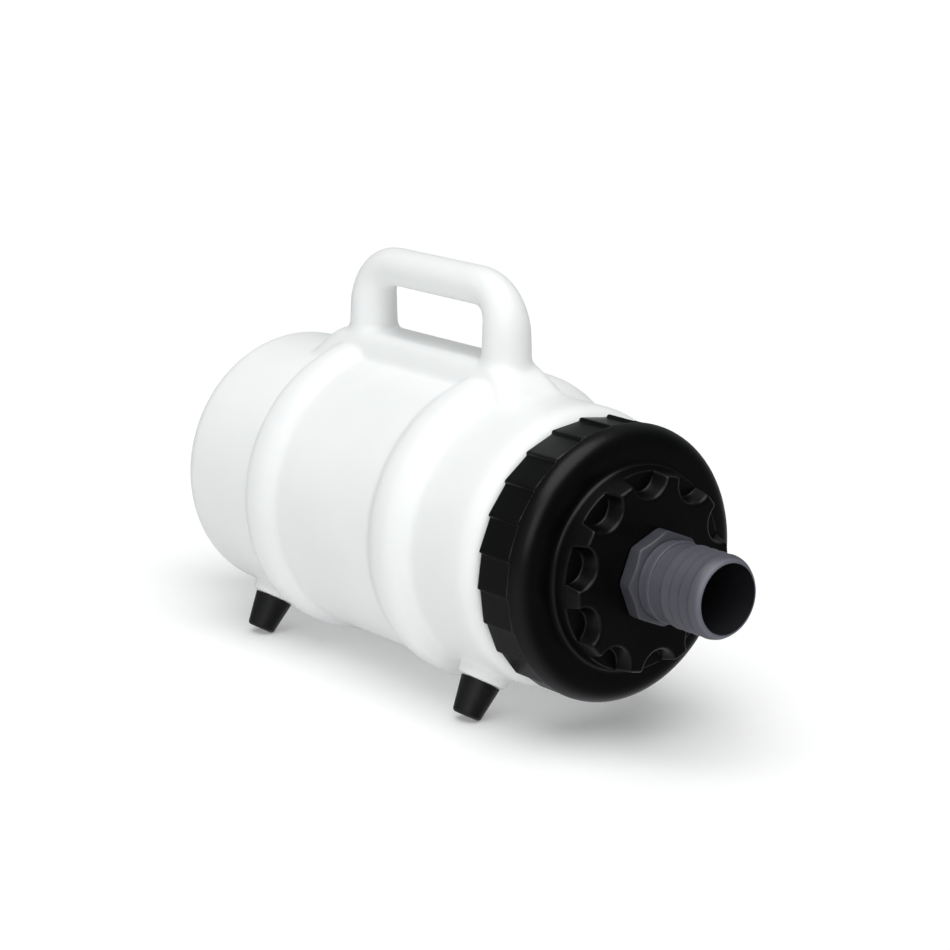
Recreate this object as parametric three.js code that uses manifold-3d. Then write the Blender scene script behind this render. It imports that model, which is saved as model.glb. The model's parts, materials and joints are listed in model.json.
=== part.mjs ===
// In-line bilge water filter canister: a blow-moulded shell with a carrying handle, four rubber feet,
// a screw cap with an outlet hose tail, an inlet hose tail at the back, and a pleated cartridge inside.
// Millimetres. X runs along the canister toward the cap, Z is up, and the origin is on the ground
// under the middle of the object. Every sub-part is drawn about the canister's own axis.
import * as THREE from 'three';
import { mergeVertices } from 'three/addons/utils/BufferGeometryUtils.js';
import Module from 'manifold-3d';

const wasm = await Module();
wasm.setup();

// Driving dimensions.
const AXIS_HEIGHT = 85;
const GAP = 0.3; // what touching pieces keep between them
const FINEST_DETAIL = 0.01; // no sliver or step smaller than this is left on a body
const SAME_POINT = 1e-4; // corners closer than this are one
const PAST = 1; // how far a cutting body reaches past the face that it cuts
const WALL = 3;
const END_RADIUS = 71;
const PANEL_RADIUS = 75;
const HOOP_RADIUS = 79.3;
const HOOP_HALF_WIDTH = 14;
const HOOP_STATIONS = [-1, -0.72, -0.35, 0.35, 0.72, 1]; // shares of the half width
const HOOP_POWER = 4;
const HOOP_XS = [-65.3, 44.8];
const DOME_START_X = -133.1;
const DOME_DEPTH = 25.8;
const DOME_POWER = 2.1;
const DOME_STEPS = 7;
const INLET_SEAT_X = -157.7;
const INLET_BOSS_RADIUS = 27;
const INLET_SEAT_RADIUS = 29; // the flat inside the wall, for the seal
const SHOULDER_START_X = 93;
const SHOULDER_END_X = 106.8;
const SHOULDER_POWER = 2.4;
const SHOULDER_STEPS = 4;
const NECK_RADIUS = 60.5;
const NECK_BORE = 57;
const NECK_END_X = 133.6;

const HANDLE_XS = [-65.5, 45.1];
const HANDLE_RADIUS = 10.7;
const HANDLE_TOP = 129.6; // top of the grip above the axis
const HANDLE_BEND = 24;
const HANDLE_STEPS = 22; // stations along the handle's path
const HANDLE_CURVE_SEGMENTS = 7;
const SADDLE_XS = [-97, 69.5];
const SADDLE_TOP = 85;
const SADDLE_HALF_WIDTHS = [17.6, 13]; // at the shell and at the top
const SADDLE_EDGE = 3;
const SADDLE_END_RUN = 14; // length of the slope at each end
const SADDLE_SINK = 11; // how far below the shell's surface the saddle's own body starts

const THREAD_PITCH = 6;
const THREAD_TURNS = 1.75;
const THREAD_ROOT_WIDTH = 2.4;
const THREAD_CREST_WIDTH = 1.4;
const THREAD_SINK = 0.6; // how far a ridge's root is sunk in its wall
const NECK_THREAD_CREST = 63.1;
const NECK_THREAD_X = 113;

const CAP_BACK_X = 107.6;
const CAP_GRIP_END_X = 130.2;
const CAP_FACE_X = 140.8;
const CAP_RADIUS = 68.6; // the round shoulder, just in front of the grip flats
const CAP_FLAT_RADII = [67, 68.3]; // the low and the high edge of each grip flat
const CAP_FLATS = 24;
const CAP_STEP_ANGLE = 0.6; // the ledge between two flats, in degrees
const CAP_FLAT_PHASE = 5.4;
const CAP_CORE_RADIUS = 66; // the cap's round body under the grip flats
const CAP_SHOULDER_STEPS = 5;
const CAP_BORE = 64;
const CAP_THREAD_CREST = 61.3;
const CAP_WALL = 4;
const HUB_RADII = [50, 47.4]; // at the cap's face and at the hub's front
const HUB_FRONT_X = 157.7;
const HUB_BORE = 34;
const HUB_EDGE = 1;
const SCALLOPS = 10;
const SCALLOP_PHASE = 5;
const SCALLOP_CENTRE = 48.6;
const SCALLOP_RADII = [9, 10.9]; // at its floor and at the hub's front
const SCALLOP_FLOOR_X = 148.8;

const TAIL_LENGTH = 48.6;
const TAIL_FLANGE_RADIUS = 23.7;
const TAIL_FLANGE_LENGTH = 8.8;
const TAIL_NECK_RADIUS = 18.8;
const TAIL_LIP_RADIUS = 20;
const TAIL_LIP = [12.8, 16.2]; // where the round lip starts and ends, from the seat
const TAIL_RIDGE_START = 24.3;
const TAIL_RIDGE_STEP = 6;
const TAIL_RIDGE_RISE = 1;
const TAIL_RIDGE_RADIUS = 20.3;
const TAIL_ROOT_RADIUS = 19.7;
const TAIL_MOUTH_RADIUS = 17.6;
const TAIL_RIDGES = 4;
const TAIL_BORE = 16.6;
const STEM_RADIUS = 21;
const STEM_LENGTH = 20;
const STEM_CHAMFER = 1;
const SEAL_THICKNESS = 2.2;
const SEAL_RADIUS = 27;
const GASKET_CLEARANCE = 0.5; // inside the cap's bore and outside the neck's
const CARTRIDGE_GASKET_RADII = [30.5, 41];
const BACKNUT_LENGTH = 8;
const BACKNUT_RADIUS = 29;
const CAGE_WALL = 4;
const CAGE_THREAD_LENGTH = 5;
const CAGE_WINDOW_WIDTH = 12;
const CAGE_THREAD_WALL = 5;
const CAGE_CLEARANCE = 0.5; // round the cartridge's stub
const CAGE_RIM = 1; // between a window and the ends of the cone

const CARTRIDGE_XS = [-116.5, 133.3];
const CARTRIDGE_RADIUS = 54;
const END_CAP_LENGTH = 8;
const END_CAP_LIP = 6;
const CORE_RADII = [19.5, 22];
const PLEAT_RADII = [23.5, 50.4];
const PLEAT_COUNT = 36;
const PLEAT_FOLD = 3.6; // from the outside to the inside of a fold, along its radius
const SLEEVE_RADII = [51.1, 52.3];
const OUTLET_COLLAR_RADII = [24.5, 42];
const OUTLET_COLLAR_END_X = 141.2;
const STUB_RADIUS = 26.8;
const STUB_LENGTH = 9;

const FOOT_XS = [-105.5, 74.7];
const FOOT_SPLAY = 30; // degrees from straight down
const FOOT_TOP = 77.2; // distances from the axis
const FOOT_END = 95.7;
const FOOT_RADII = [10.3, 6.9];
const FOOT_RECESS_RADIUS = 3.9;
const FOOT_RECESS_DEPTH = 6;
const PAD_RADIUS = 12.8;
const SCREW_RADIUS = 2;
const SCREW_HEAD_RADIUS = 3.5;
const SCREW_HEAD_HEIGHT = 2.6;
const SCREW_HEAD_TAPER = 0.4;
const SCREW_DRIVE = [4, 1, 3]; // length, width and height of one arm of the cross
const SCREW_DRIVE_LIFT = 0.2; // how far the middle of the drive is past the head's end
const SCREW_TIP = 71.2;
const SCREW_HOLE_ENDS = [70.7, 82.2]; // distances from the axis, past the tip and past the pad
const WASHER_THICKNESS = 0.8;

const SHELL_SEGMENTS = 36;
const CAP_SEGMENTS = 48;
const TAIL_SEGMENTS = 30;
const PAD_SEGMENTS = 28;
const SMALL_SEGMENTS = 16;
const FOOT_SEGMENTS = 24;
const SHANK_SEGMENTS = 12;
const THREAD_SEGMENTS = 40;

// Finishes: colour, roughness and metalness.
const WHITE_HDPE = [0xe9edec, 0.38, 0];
const BLACK_PLASTIC = [0x111112, 0.4, 0];
const GREY_PLASTIC = [0x5b5c66, 0.42, 0];
const BLACK_RUBBER = [0x161616, 0.75, 0];
const STEEL = [0xb9bcc0, 0.3, 1];
const MEDIA_FELT = [0xe6e2d4, 0.95, 0];
const WHITE_NYLON = [0xd8dad8, 0.5, 0];

const ROUND = 2; // the superellipse power of a circle

const radians = THREE.MathUtils.degToRad;

// A closed body for the boolean library, from any closed three.js geometry.
function solid(geometry) {
  const bare = new THREE.BufferGeometry();
  bare.setAttribute('position', geometry.getAttribute('position').clone());
  if (geometry.index) {
    bare.setIndex(geometry.index.clone());
  }
  const merged = mergeVertices(bare, SAME_POINT);
  const position = merged.getAttribute('position');
  const triangles = [];
  let volume = 0;
  const [a, b, c] = [new THREE.Vector3(), new THREE.Vector3(), new THREE.Vector3()];
  for (let i = 0; i < merged.index.count; i += 3) {
    const corners = [0, 1, 2].map((step) => merged.index.getX(i + step));
    if (new Set(corners).size === 3) {
      triangles.push(...corners);
      a.fromBufferAttribute(position, corners[0]);
      b.fromBufferAttribute(position, corners[1]);
      c.fromBufferAttribute(position, corners[2]);
      volume += a.dot(b.cross(c));
    }
  }
  if (volume < 0) {
    triangles.reverse();
  }
  return new wasm.Manifold(new wasm.Mesh({
    numProp: 3,
    vertProperties: new Float32Array(position.array),
    triVerts: new Uint32Array(triangles),
  }));
}

function join(bodies) {
  return bodies.reduce((whole, body) => whole.add(body));
}

function cut(body, tools) {
  return tools.reduce((whole, tool) => whole.subtract(tool), body);
}

// A named mesh of one finished body.
function piece(name, body, [color, roughness, metalness]) {
  const surface = body.asOriginal().simplify(FINEST_DETAIL).getMesh();
  const geometry = new THREE.BufferGeometry();
  geometry.setAttribute('position', new THREE.BufferAttribute(surface.vertProperties, 3));
  geometry.setIndex(new THREE.BufferAttribute(surface.triVerts, 1));
  geometry.computeVertexNormals();
  const mesh = new THREE.Mesh(geometry, new THREE.MeshStandardMaterial({ color, roughness, metalness }));
  mesh.name = name;
  return mesh;
}

// A body turned about the X axis, from a closed profile of [x, radius] points.
function turned(profile, segments) {
  const points = [...profile, profile[0]].map(([x, radius]) => new THREE.Vector2(radius, x));
  return solid(new THREE.LatheGeometry(points, segments).rotateZ(-Math.PI / 2));
}

function ring(x0, x1, inner, outer, segments) {
  return turned([[x0, inner], [x1, inner], [x1, outer], [x0, outer]], segments);
}

function disc(x0, x1, radius, segments) {
  return turned([[x0, 0], [x1, 0], [x1, radius], [x0, radius]], segments);
}

// The point at this radius and angle around the axis; angles run from the top toward -Y.
function around(radius, degrees) {
  const angle = radians(degrees);
  return [-radius * Math.sin(angle), radius * Math.cos(angle)];
}

// A prism along X from an outline of [radius, degrees] points.
function prism(x0, x1, outline) {
  const shape = new THREE.Shape();
  outline.forEach(([radius, degrees], index) => {
    const [y, z] = around(radius, degrees);
    if (index === 0) {
      shape.moveTo(y, z);
    } else {
      shape.lineTo(y, z);
    }
  });
  const extruded = new THREE.ExtrudeGeometry(shape, { depth: x1 - x0, bevelEnabled: false });
  const yzToWorld = new THREE.Matrix4().makeBasis(
    new THREE.Vector3(0, 1, 0),
    new THREE.Vector3(0, 0, 1),
    new THREE.Vector3(1, 0, 0),
  );
  return solid(extruded.applyMatrix4(yzToWorld).translate(x0, 0, 0));
}

// A helical ridge of trapezium section, right-handed about +X.
function thread(rootRadius, crestRadius, startX) {
  const steps = Math.round(THREAD_TURNS * THREAD_SEGMENTS);
  const positions = [];
  const indices = [];
  for (let i = 0; i <= steps; i += 1) {
    const turn = i / THREAD_SEGMENTS;
    const x = startX + turn * THREAD_PITCH;
    const section = [
      [-THREAD_ROOT_WIDTH / 2, rootRadius],
      [-THREAD_CREST_WIDTH / 2, crestRadius],
      [THREAD_CREST_WIDTH / 2, crestRadius],
      [THREAD_ROOT_WIDTH / 2, rootRadius],
    ];
    for (const [offset, radius] of section) {
      positions.push(x + offset, ...around(radius, turn * 360));
    }
  }
  for (let i = 0; i < steps; i += 1) {
    for (let side = 0; side < 4; side += 1) {
      const here = i * 4 + side;
      const next = i * 4 + (side + 1) % 4;
      indices.push(here, next, next + 4, here, next + 4, here + 4);
    }
  }
  const last = steps * 4;
  indices.push(0, 2, 1, 0, 3, 2, last, last + 1, last + 2, last, last + 2, last + 3);
  const geometry = new THREE.BufferGeometry();
  geometry.setAttribute('position', new THREE.Float32BufferAttribute(positions, 3));
  geometry.setIndex(indices);
  return solid(geometry);
}

// Quarter of a superellipse, from the axis side to the rim, as [along, across] fractions.
function superQuarter(steps, power) {
  return Array.from({ length: steps + 1 }, (_, i) => {
    const angle = (i / steps) * Math.PI / 2;
    return [Math.cos(angle) ** (2 / power), Math.sin(angle) ** (2 / power)];
  });
}

// The shell's profile, or its inner face when inset by the wall.
function shellProfile(inset) {
  const points = [[DOME_START_X - DOME_DEPTH + inset, 0]];
  for (const [along, across] of superQuarter(DOME_STEPS, DOME_POWER).slice(1)) {
    points.push([DOME_START_X - along * (DOME_DEPTH - inset), across * (END_RADIUS - inset)]);
  }
  HOOP_XS.forEach((hoopX, index) => {
    const bases = index === 0 ? [END_RADIUS, PANEL_RADIUS] : [PANEL_RADIUS, END_RADIUS];
    const halfWidth = HOOP_HALF_WIDTH - inset;
    for (const offset of HOOP_STATIONS) {
      const base = offset < 0 ? bases[0] : bases[1];
      const rise = Math.abs(offset) === 1 ? 0 : (HOOP_RADIUS - base) * (1 - offset ** HOOP_POWER);
      points.push([hoopX + offset * halfWidth, base + rise - inset]);
    }
  });
  const depth = SHOULDER_END_X - SHOULDER_START_X - inset;
  const root = inset ? NECK_BORE : NECK_RADIUS;
  for (const [across, along] of superQuarter(SHOULDER_STEPS, SHOULDER_POWER)) {
    points.push([SHOULDER_START_X + along * depth, root + across * (END_RADIUS - inset - root)]);
  }
  const endX = NECK_END_X + inset;
  points.push([endX, root], [endX, 0]);
  return points;
}

// The carrying handle: two posts and a grip, swept along one path.
function handle(inset) {
  const grip = HANDLE_TOP - HANDLE_RADIUS;
  const [backX, frontX] = HANDLE_XS;
  const path = new THREE.CurvePath();
  const at = (x, z) => new THREE.Vector3(x, 0, z);
  const rootZ = END_RADIUS - WALL;
  path.add(new THREE.LineCurve3(at(backX, rootZ), at(backX, grip - HANDLE_BEND)));
  path.add(new THREE.QuadraticBezierCurve3(
    at(backX, grip - HANDLE_BEND),
    at(backX, grip),
    at(backX + HANDLE_BEND, grip),
  ));
  path.add(new THREE.LineCurve3(at(backX + HANDLE_BEND, grip), at(frontX - HANDLE_BEND, grip)));
  path.add(new THREE.QuadraticBezierCurve3(
    at(frontX - HANDLE_BEND, grip),
    at(frontX, grip),
    at(frontX, grip - HANDLE_BEND),
  ));
  path.add(new THREE.LineCurve3(at(frontX, grip - HANDLE_BEND), at(frontX, rootZ)));
  const section = new THREE.Shape();
  section.absarc(0, 0, HANDLE_RADIUS - inset, 0, Math.PI * 2);
  return solid(new THREE.ExtrudeGeometry(section, {
    steps: HANDLE_STEPS,
    curveSegments: HANDLE_CURVE_SEGMENTS,
    extrudePath: path,
  }));
}

// The plinth that the handle stands on, along the top of the shell, with sloped ends.
function saddle(inset) {
  const [foot, top] = SADDLE_HALF_WIDTHS.map((half) => half - inset);
  const height = SADDLE_TOP - inset;
  const low = END_RADIUS - SADDLE_SINK;
  const across = new THREE.Shape();
  across.moveTo(-foot, low);
  across.lineTo(foot, low);
  across.lineTo(top, height - SADDLE_EDGE);
  across.lineTo(top - SADDLE_EDGE, height);
  across.lineTo(SADDLE_EDGE - top, height);
  across.lineTo(-top, height - SADDLE_EDGE);
  const [x0, x1] = [SADDLE_XS[0] + inset, SADDLE_XS[1] - inset];
  const along = new THREE.Shape();
  along.moveTo(x0, low);
  along.lineTo(x1, low);
  along.lineTo(x1, END_RADIUS - inset);
  along.lineTo(x1 - SADDLE_END_RUN, height);
  along.lineTo(x0 + SADDLE_END_RUN, height);
  along.lineTo(x0, END_RADIUS - inset);
  const flat = { bevelEnabled: false };
  const bar = new THREE.ExtrudeGeometry(across, { depth: x1 - x0, ...flat });
  const slab = new THREE.ExtrudeGeometry(along, { depth: 2 * END_RADIUS, ...flat });
  const whole = solid(bar.rotateX(Math.PI / 2).rotateZ(Math.PI / 2).translate(x0, 0, 0));
  return whole.intersect(solid(slab.rotateX(Math.PI / 2).translate(0, END_RADIUS, 0)));
}

// A round piece on one foot's own line, straight down from the axis before the splay.
function downCylinder(x, from, to, fromRadius, toRadius, segments = SMALL_SEGMENTS) {
  const cylinder = new THREE.CylinderGeometry(fromRadius, toRadius, to - from, segments);
  return solid(cylinder.rotateX(Math.PI / 2).translate(x, 0, -(from + to) / 2));
}

// A round moulded pad that carries a foot.
function footPad(x) {
  return downCylinder(x, END_RADIUS - WALL / 2, FOOT_TOP - GAP, PAD_RADIUS, PAD_RADIUS, PAD_SEGMENTS);
}

// The hole that a screw's shank passes through.
function clearance(x, from, to) {
  return downCylinder(x, from, to, SCREW_RADIUS + GAP, SCREW_RADIUS + GAP, SHANK_SEGMENTS);
}

function screwHole(x) {
  return clearance(x, ...SCREW_HOLE_ENDS);
}

function makeCanister() {
  const splays = [-FOOT_SPLAY, FOOT_SPLAY];
  const feet = FOOT_XS.flatMap((x) => splays.map((splay) => ({ x, splay })));
  const pads = feet.map(({ x, splay }) => footPad(x).rotate([splay, 0, 0]));
  const holes = feet.map(({ x, splay }) => screwHole(x).rotate([splay, 0, 0]));
  const inletBoss = disc(INLET_SEAT_X, DOME_START_X - DOME_DEPTH / 2, INLET_BOSS_RADIUS, SHELL_SEGMENTS);
  const outside = join([
    turned(shellProfile(0), SHELL_SEGMENTS),
    handle(0),
    saddle(0),
    inletBoss,
    thread(NECK_RADIUS - THREAD_SINK, NECK_THREAD_CREST, NECK_THREAD_X),
    ...pads,
  ]);
  const behindSeat = disc(2 * INLET_SEAT_X, INLET_SEAT_X, INLET_BOSS_RADIUS, SHELL_SEGMENTS);
  const inside = join([turned(shellProfile(WALL), SHELL_SEGMENTS), handle(WALL), saddle(WALL)]);
  const inletSeat = disc(INLET_SEAT_X + CAP_WALL, DOME_START_X, INLET_SEAT_RADIUS, SHELL_SEGMENTS);
  const inletHole = disc(INLET_SEAT_X - PAST, DOME_START_X, STEM_RADIUS + GAP, TAIL_SEGMENTS);
  return cut(outside, [inside, behindSeat, inletSeat, inletHole, ...holes]);
}

// The saw-tooth outline of the cap's grip, one flat for each tooth.
function gripOutline() {
  const step = 360 / CAP_FLATS;
  const [low, high] = CAP_FLAT_RADII;
  return Array.from({ length: CAP_FLATS }, (_, i) => CAP_FLAT_PHASE + i * step).flatMap((angle) => [
    [low, angle],
    [high, angle + step - CAP_STEP_ANGLE],
  ]);
}

function makeCap() {
  const rounding = CAP_FACE_X - CAP_GRIP_END_X;
  const centre = CAP_RADIUS - rounding;
  const shoulder = superQuarter(CAP_SHOULDER_STEPS, ROUND).map(([across, along]) => [
    CAP_GRIP_END_X + along * rounding,
    centre + across * rounding,
  ]);
  const body = turned([
    [CAP_BACK_X, 0],
    [CAP_BACK_X, CAP_CORE_RADIUS],
    [CAP_GRIP_END_X, CAP_CORE_RADIUS],
    ...shoulder,
    [CAP_FACE_X, HUB_RADII[0]],
    [HUB_FRONT_X - HUB_EDGE, HUB_RADII[1]],
    [HUB_FRONT_X, HUB_RADII[1] - HUB_EDGE],
    [HUB_FRONT_X, 0],
  ], CAP_SEGMENTS);
  const grip = prism(CAP_BACK_X, CAP_GRIP_END_X, gripOutline());
  const underFace = CAP_FACE_X - CAP_WALL;
  const ledge = SCALLOP_FLOOR_X - CAP_WALL;
  const hollow = turned([
    [CAP_BACK_X - PAST, 0],
    [CAP_BACK_X - PAST, CAP_BORE],
    [underFace, CAP_BORE],
    [underFace, HUB_RADII[0] - CAP_WALL],
    [ledge, HUB_RADII[0] - CAP_WALL],
    [ledge, HUB_BORE],
    [HUB_FRONT_X - CAP_WALL, HUB_BORE],
    [HUB_FRONT_X - CAP_WALL, STEM_RADIUS + GAP],
    [HUB_FRONT_X + PAST, STEM_RADIUS + GAP],
    [HUB_FRONT_X + PAST, 0],
  ], CAP_SEGMENTS);
  const depth = HUB_FRONT_X - SCALLOP_FLOOR_X;
  const [floorRadius, frontRadius] = SCALLOP_RADII;
  const scallops = Array.from({ length: SCALLOPS }, (_, i) => {
    const [y, z] = around(SCALLOP_CENTRE, SCALLOP_PHASE + i * 360 / SCALLOPS);
    const cone = turned([
      [SCALLOP_FLOOR_X, 0],
      [HUB_FRONT_X + depth, 0],
      [HUB_FRONT_X + depth, 2 * frontRadius - floorRadius],
      [SCALLOP_FLOOR_X, floorRadius],
    ], SMALL_SEGMENTS);
    return cone.translate([0, y, z]);
  });
  const ridge = thread(CAP_BORE + THREAD_SINK, CAP_THREAD_CREST, NECK_THREAD_X - THREAD_PITCH / 2);
  return join([cut(join([body, grip]), [hollow, ...scallops]), ridge]);
}

// The corners of an octagon, as [radius, degrees] points.
function octagon(radius, phase) {
  return Array.from({ length: 8 }, (_, i) => [radius, phase + i * 45]);
}

// A hose tail that stands on the plane x = 0 and points along +X, with its threaded stem behind it.
function hoseTail() {
  const [lipStart, lipEnd] = TAIL_LIP;
  const ridges = Array.from({ length: TAIL_RIDGES }, (_, i) => [
    [TAIL_RIDGE_START + i * TAIL_RIDGE_STEP, TAIL_ROOT_RADIUS],
    [TAIL_RIDGE_START + i * TAIL_RIDGE_STEP + TAIL_RIDGE_RISE, TAIL_RIDGE_RADIUS],
  ]).flat();
  const barbs = turned([
    [-STEM_LENGTH, TAIL_BORE],
    [TAIL_LENGTH, TAIL_BORE + GAP],
    [TAIL_LENGTH, TAIL_MOUTH_RADIUS],
    ...ridges.reverse(),
    [TAIL_RIDGE_START, TAIL_NECK_RADIUS],
    [lipEnd, TAIL_NECK_RADIUS],
    [lipEnd, TAIL_LIP_RADIUS],
    [lipStart, TAIL_LIP_RADIUS],
    [lipStart, TAIL_NECK_RADIUS],
    [0, TAIL_NECK_RADIUS],
    [0, STEM_RADIUS],
    [STEM_CHAMFER - STEM_LENGTH, STEM_RADIUS],
    [-STEM_LENGTH, STEM_RADIUS - STEM_CHAMFER],
  ], TAIL_SEGMENTS);
  const corners = octagon(TAIL_FLANGE_RADIUS, 0);
  const flange = prism(0, TAIL_FLANGE_LENGTH, corners);
  const core = disc(-PAST, TAIL_FLANGE_LENGTH + PAST, TAIL_BORE + PAST, TAIL_SEGMENTS);
  return join([barbs, cut(flange, [core])]);
}

// The seal and backnut behind a wall whose inner face is the plane x = 0, stacked toward -X.
function tailSeal() {
  return ring(-GAP - SEAL_THICKNESS, -GAP, STEM_RADIUS + GAP, SEAL_RADIUS, TAIL_SEGMENTS);
}

function tailBacknut() {
  const front = -2 * GAP - SEAL_THICKNESS;
  const corners = octagon(BACKNUT_RADIUS, 22.5);
  const hole = disc(front - BACKNUT_LENGTH - PAST, 0, STEM_RADIUS + GAP, TAIL_SEGMENTS);
  return cut(prism(front - BACKNUT_LENGTH, front, corners), [hole]);
}

// The cage on the inlet stem that spreads the water and holds the cartridge's back end.
function makeInletCage() {
  const nutBack = INLET_SEAT_X + CAP_WALL + 3 * GAP + SEAL_THICKNESS + BACKNUT_LENGTH;
  const cupX = CARTRIDGE_XS[0] - STUB_LENGTH - CAGE_RIM;
  const cupRadius = STUB_RADIUS + CAGE_CLEARANCE;
  const threadEnd = nutBack + CAGE_THREAD_LENGTH;
  const body = turned([
    [nutBack, STEM_RADIUS + GAP],
    [threadEnd, STEM_RADIUS + GAP],
    [cupX, cupRadius],
    [CARTRIDGE_XS[0] - GAP, cupRadius],
    [CARTRIDGE_XS[0] - GAP, cupRadius + CAGE_WALL],
    [cupX, cupRadius + CAGE_WALL],
    [threadEnd, STEM_RADIUS + CAGE_THREAD_WALL],
    [nutBack, STEM_RADIUS + CAGE_THREAD_WALL],
  ], TAIL_SEGMENTS);
  const windowLength = cupX - threadEnd - 2 * CAGE_RIM;
  const windows = [0, 45, 90, 135].map((degrees) => {
    const slot = new THREE.BoxGeometry(windowLength, CAGE_WINDOW_WIDTH, 2 * END_RADIUS);
    const middle = threadEnd + CAGE_RIM + windowLength / 2;
    return solid(slot.translate(middle, 0, 0).rotateX(radians(degrees + 22.5)));
  });
  return cut(body, windows);
}

// A cup-shaped cap on one end of the cartridge; its lip points along `side`.
function cartridgeEnd(endX, side, bore) {
  const floor = endX + side * END_CAP_LENGTH;
  const lip = floor + side * END_CAP_LIP;
  const profile = [
    [endX, bore],
    [floor, bore],
    [floor, SLEEVE_RADII[1] + GAP],
    [lip, SLEEVE_RADII[1] + GAP],
    [lip, CARTRIDGE_RADIUS],
    [endX, CARTRIDGE_RADIUS],
  ];
  return turned(profile, SHELL_SEGMENTS);
}

function makeBackEnd() {
  const plate = cartridgeEnd(CARTRIDGE_XS[0], 1, 0);
  const stub = disc(CARTRIDGE_XS[0] - STUB_LENGTH, CARTRIDGE_XS[0] + PAST, STUB_RADIUS, TAIL_SEGMENTS);
  return join([plate, stub]);
}

function makeFrontEnd() {
  const plate = cartridgeEnd(CARTRIDGE_XS[1], -1, OUTLET_COLLAR_RADII[0]);
  const collar = ring(CARTRIDGE_XS[1] - PAST, OUTLET_COLLAR_END_X, ...OUTLET_COLLAR_RADII, TAIL_SEGMENTS);
  return join([plate, collar]);
}

// A tube with rows of windows through its wall, `long` by `wide`, staggered from row to row.
function perforated([inner, outer], x0, x1, { rows, columns, long, wide }) {
  const spacing = (x1 - x0) / rows;
  const slots = [];
  for (let row = 0; row < rows; row += 1) {
    for (let column = 0; column < columns / 2; column += 1) {
      const slot = new THREE.BoxGeometry(long, wide, 2 * (outer + PAST));
      const angle = (column + (row % 2) / 2) * 2 * Math.PI / columns;
      slots.push(solid(slot.translate(x0 + (row + 0.5) * spacing, 0, 0).rotateX(angle)));
    }
  }
  return cut(ring(x0, x1, inner, outer, TAIL_SEGMENTS), slots);
}

// The pleated filter medium, one closed zigzag band.
function makePleats(x0, x1) {
  const [valley, crest] = PLEAT_RADII;
  const step = 360 / PLEAT_COUNT;
  const outside = [];
  const inside = [];
  for (let i = 0; i < PLEAT_COUNT; i += 1) {
    outside.push([crest, i * step], [valley + PLEAT_FOLD, (i + 0.5) * step]);
    inside.push([crest - PLEAT_FOLD, i * step], [valley, (i + 0.5) * step]);
  }
  return cut(prism(x0, x1, outside), [prism(x0 - PAST, x1 + PAST, inside)]);
}

// One rubber foot, with the flat under it where it stands on the ground.
function makeFoot(x) {
  const cone = downCylinder(x, FOOT_TOP, FOOT_END, ...FOOT_RADII, FOOT_SEGMENTS);
  const recessFloor = FOOT_END - FOOT_RECESS_DEPTH;
  const recess = downCylinder(x, recessFloor, FOOT_END + PAST, FOOT_RECESS_RADIUS, FOOT_RECESS_RADIUS);
  return cut(cone, [recess, clearance(x, FOOT_TOP - PAST, FOOT_END)]);
}

function makeFootWasher(x) {
  const top = FOOT_END - FOOT_RECESS_DEPTH + GAP;
  const blank = downCylinder(x, top, top + WASHER_THICKNESS, SCREW_HEAD_RADIUS, SCREW_HEAD_RADIUS);
  return cut(blank, [clearance(x, top - PAST, top + 2 * PAST)]);
}

function makeFootScrew(x) {
  const headTop = FOOT_END - FOOT_RECESS_DEPTH + 2 * GAP + WASHER_THICKNESS;
  const headEnd = headTop + SCREW_HEAD_HEIGHT;
  const head = downCylinder(x, headTop, headEnd, SCREW_HEAD_RADIUS, SCREW_HEAD_RADIUS - SCREW_HEAD_TAPER);
  const shank = downCylinder(x, SCREW_TIP, headTop + 1, SCREW_RADIUS, SCREW_RADIUS, SHANK_SEGMENTS);
  const drives = [0, 90].map((degrees) => {
    const slot = new THREE.BoxGeometry(...SCREW_DRIVE);
    return solid(slot.rotateZ(radians(degrees)).translate(x, 0, -headEnd - SCREW_DRIVE_LIFT));
  });
  return cut(join([head, shank]), drives);
}

// Everything about one foot, splayed outward to one side and trimmed level with the ground.
function footPieces(place, x, side) {
  const splay = side * FOOT_SPLAY;
  const ground = new THREE.Vector3(0, 0, 1).applyAxisAngle(new THREE.Vector3(1, 0, 0), radians(-splay));
  const foot = makeFoot(x).trimByPlane(ground.toArray(), -AXIS_HEIGHT);
  const group = new THREE.Group();
  group.add(piece(`foot_${place}`, foot, BLACK_RUBBER));
  group.add(piece(`foot_washer_${place}`, makeFootWasher(x), STEEL));
  group.add(piece(`foot_screw_${place}`, makeFootScrew(x), STEEL));
  group.rotation.x = radians(splay);
  return group;
}

function tailPieces(name, seatX, side, wallX) {
  const group = new THREE.Group();
  const tail = piece(`${name}_hose_tail`, hoseTail(), GREY_PLASTIC);
  tail.position.x = GAP;
  group.add(tail);
  const seal = piece(`${name}_seal_washer`, tailSeal(), BLACK_RUBBER);
  const backnut = piece(`${name}_backnut`, tailBacknut(), GREY_PLASTIC);
  for (const inner of [seal, backnut]) {
    inner.position.x = -wallX;
    group.add(inner);
  }
  group.position.x = seatX;
  group.rotation.z = side > 0 ? 0 : Math.PI;
  return group;
}

const model = new THREE.Group();
model.position.z = AXIS_HEIGHT;

model.add(piece('canister', makeCanister(), WHITE_HDPE));
model.add(piece('screw_cap', makeCap(), BLACK_PLASTIC));
model.add(piece('cap_gasket', ring(
  NECK_END_X + GAP,
  CAP_FACE_X - CAP_WALL - GAP,
  NECK_BORE + GASKET_CLEARANCE,
  CAP_BORE - GASKET_CLEARANCE,
  CAP_SEGMENTS,
), BLACK_RUBBER));

model.add(tailPieces('outlet', HUB_FRONT_X, 1, CAP_WALL));
model.add(tailPieces('inlet', INLET_SEAT_X, -1, CAP_WALL));
model.add(piece('inlet_cage', makeInletCage(), WHITE_NYLON));

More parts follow.
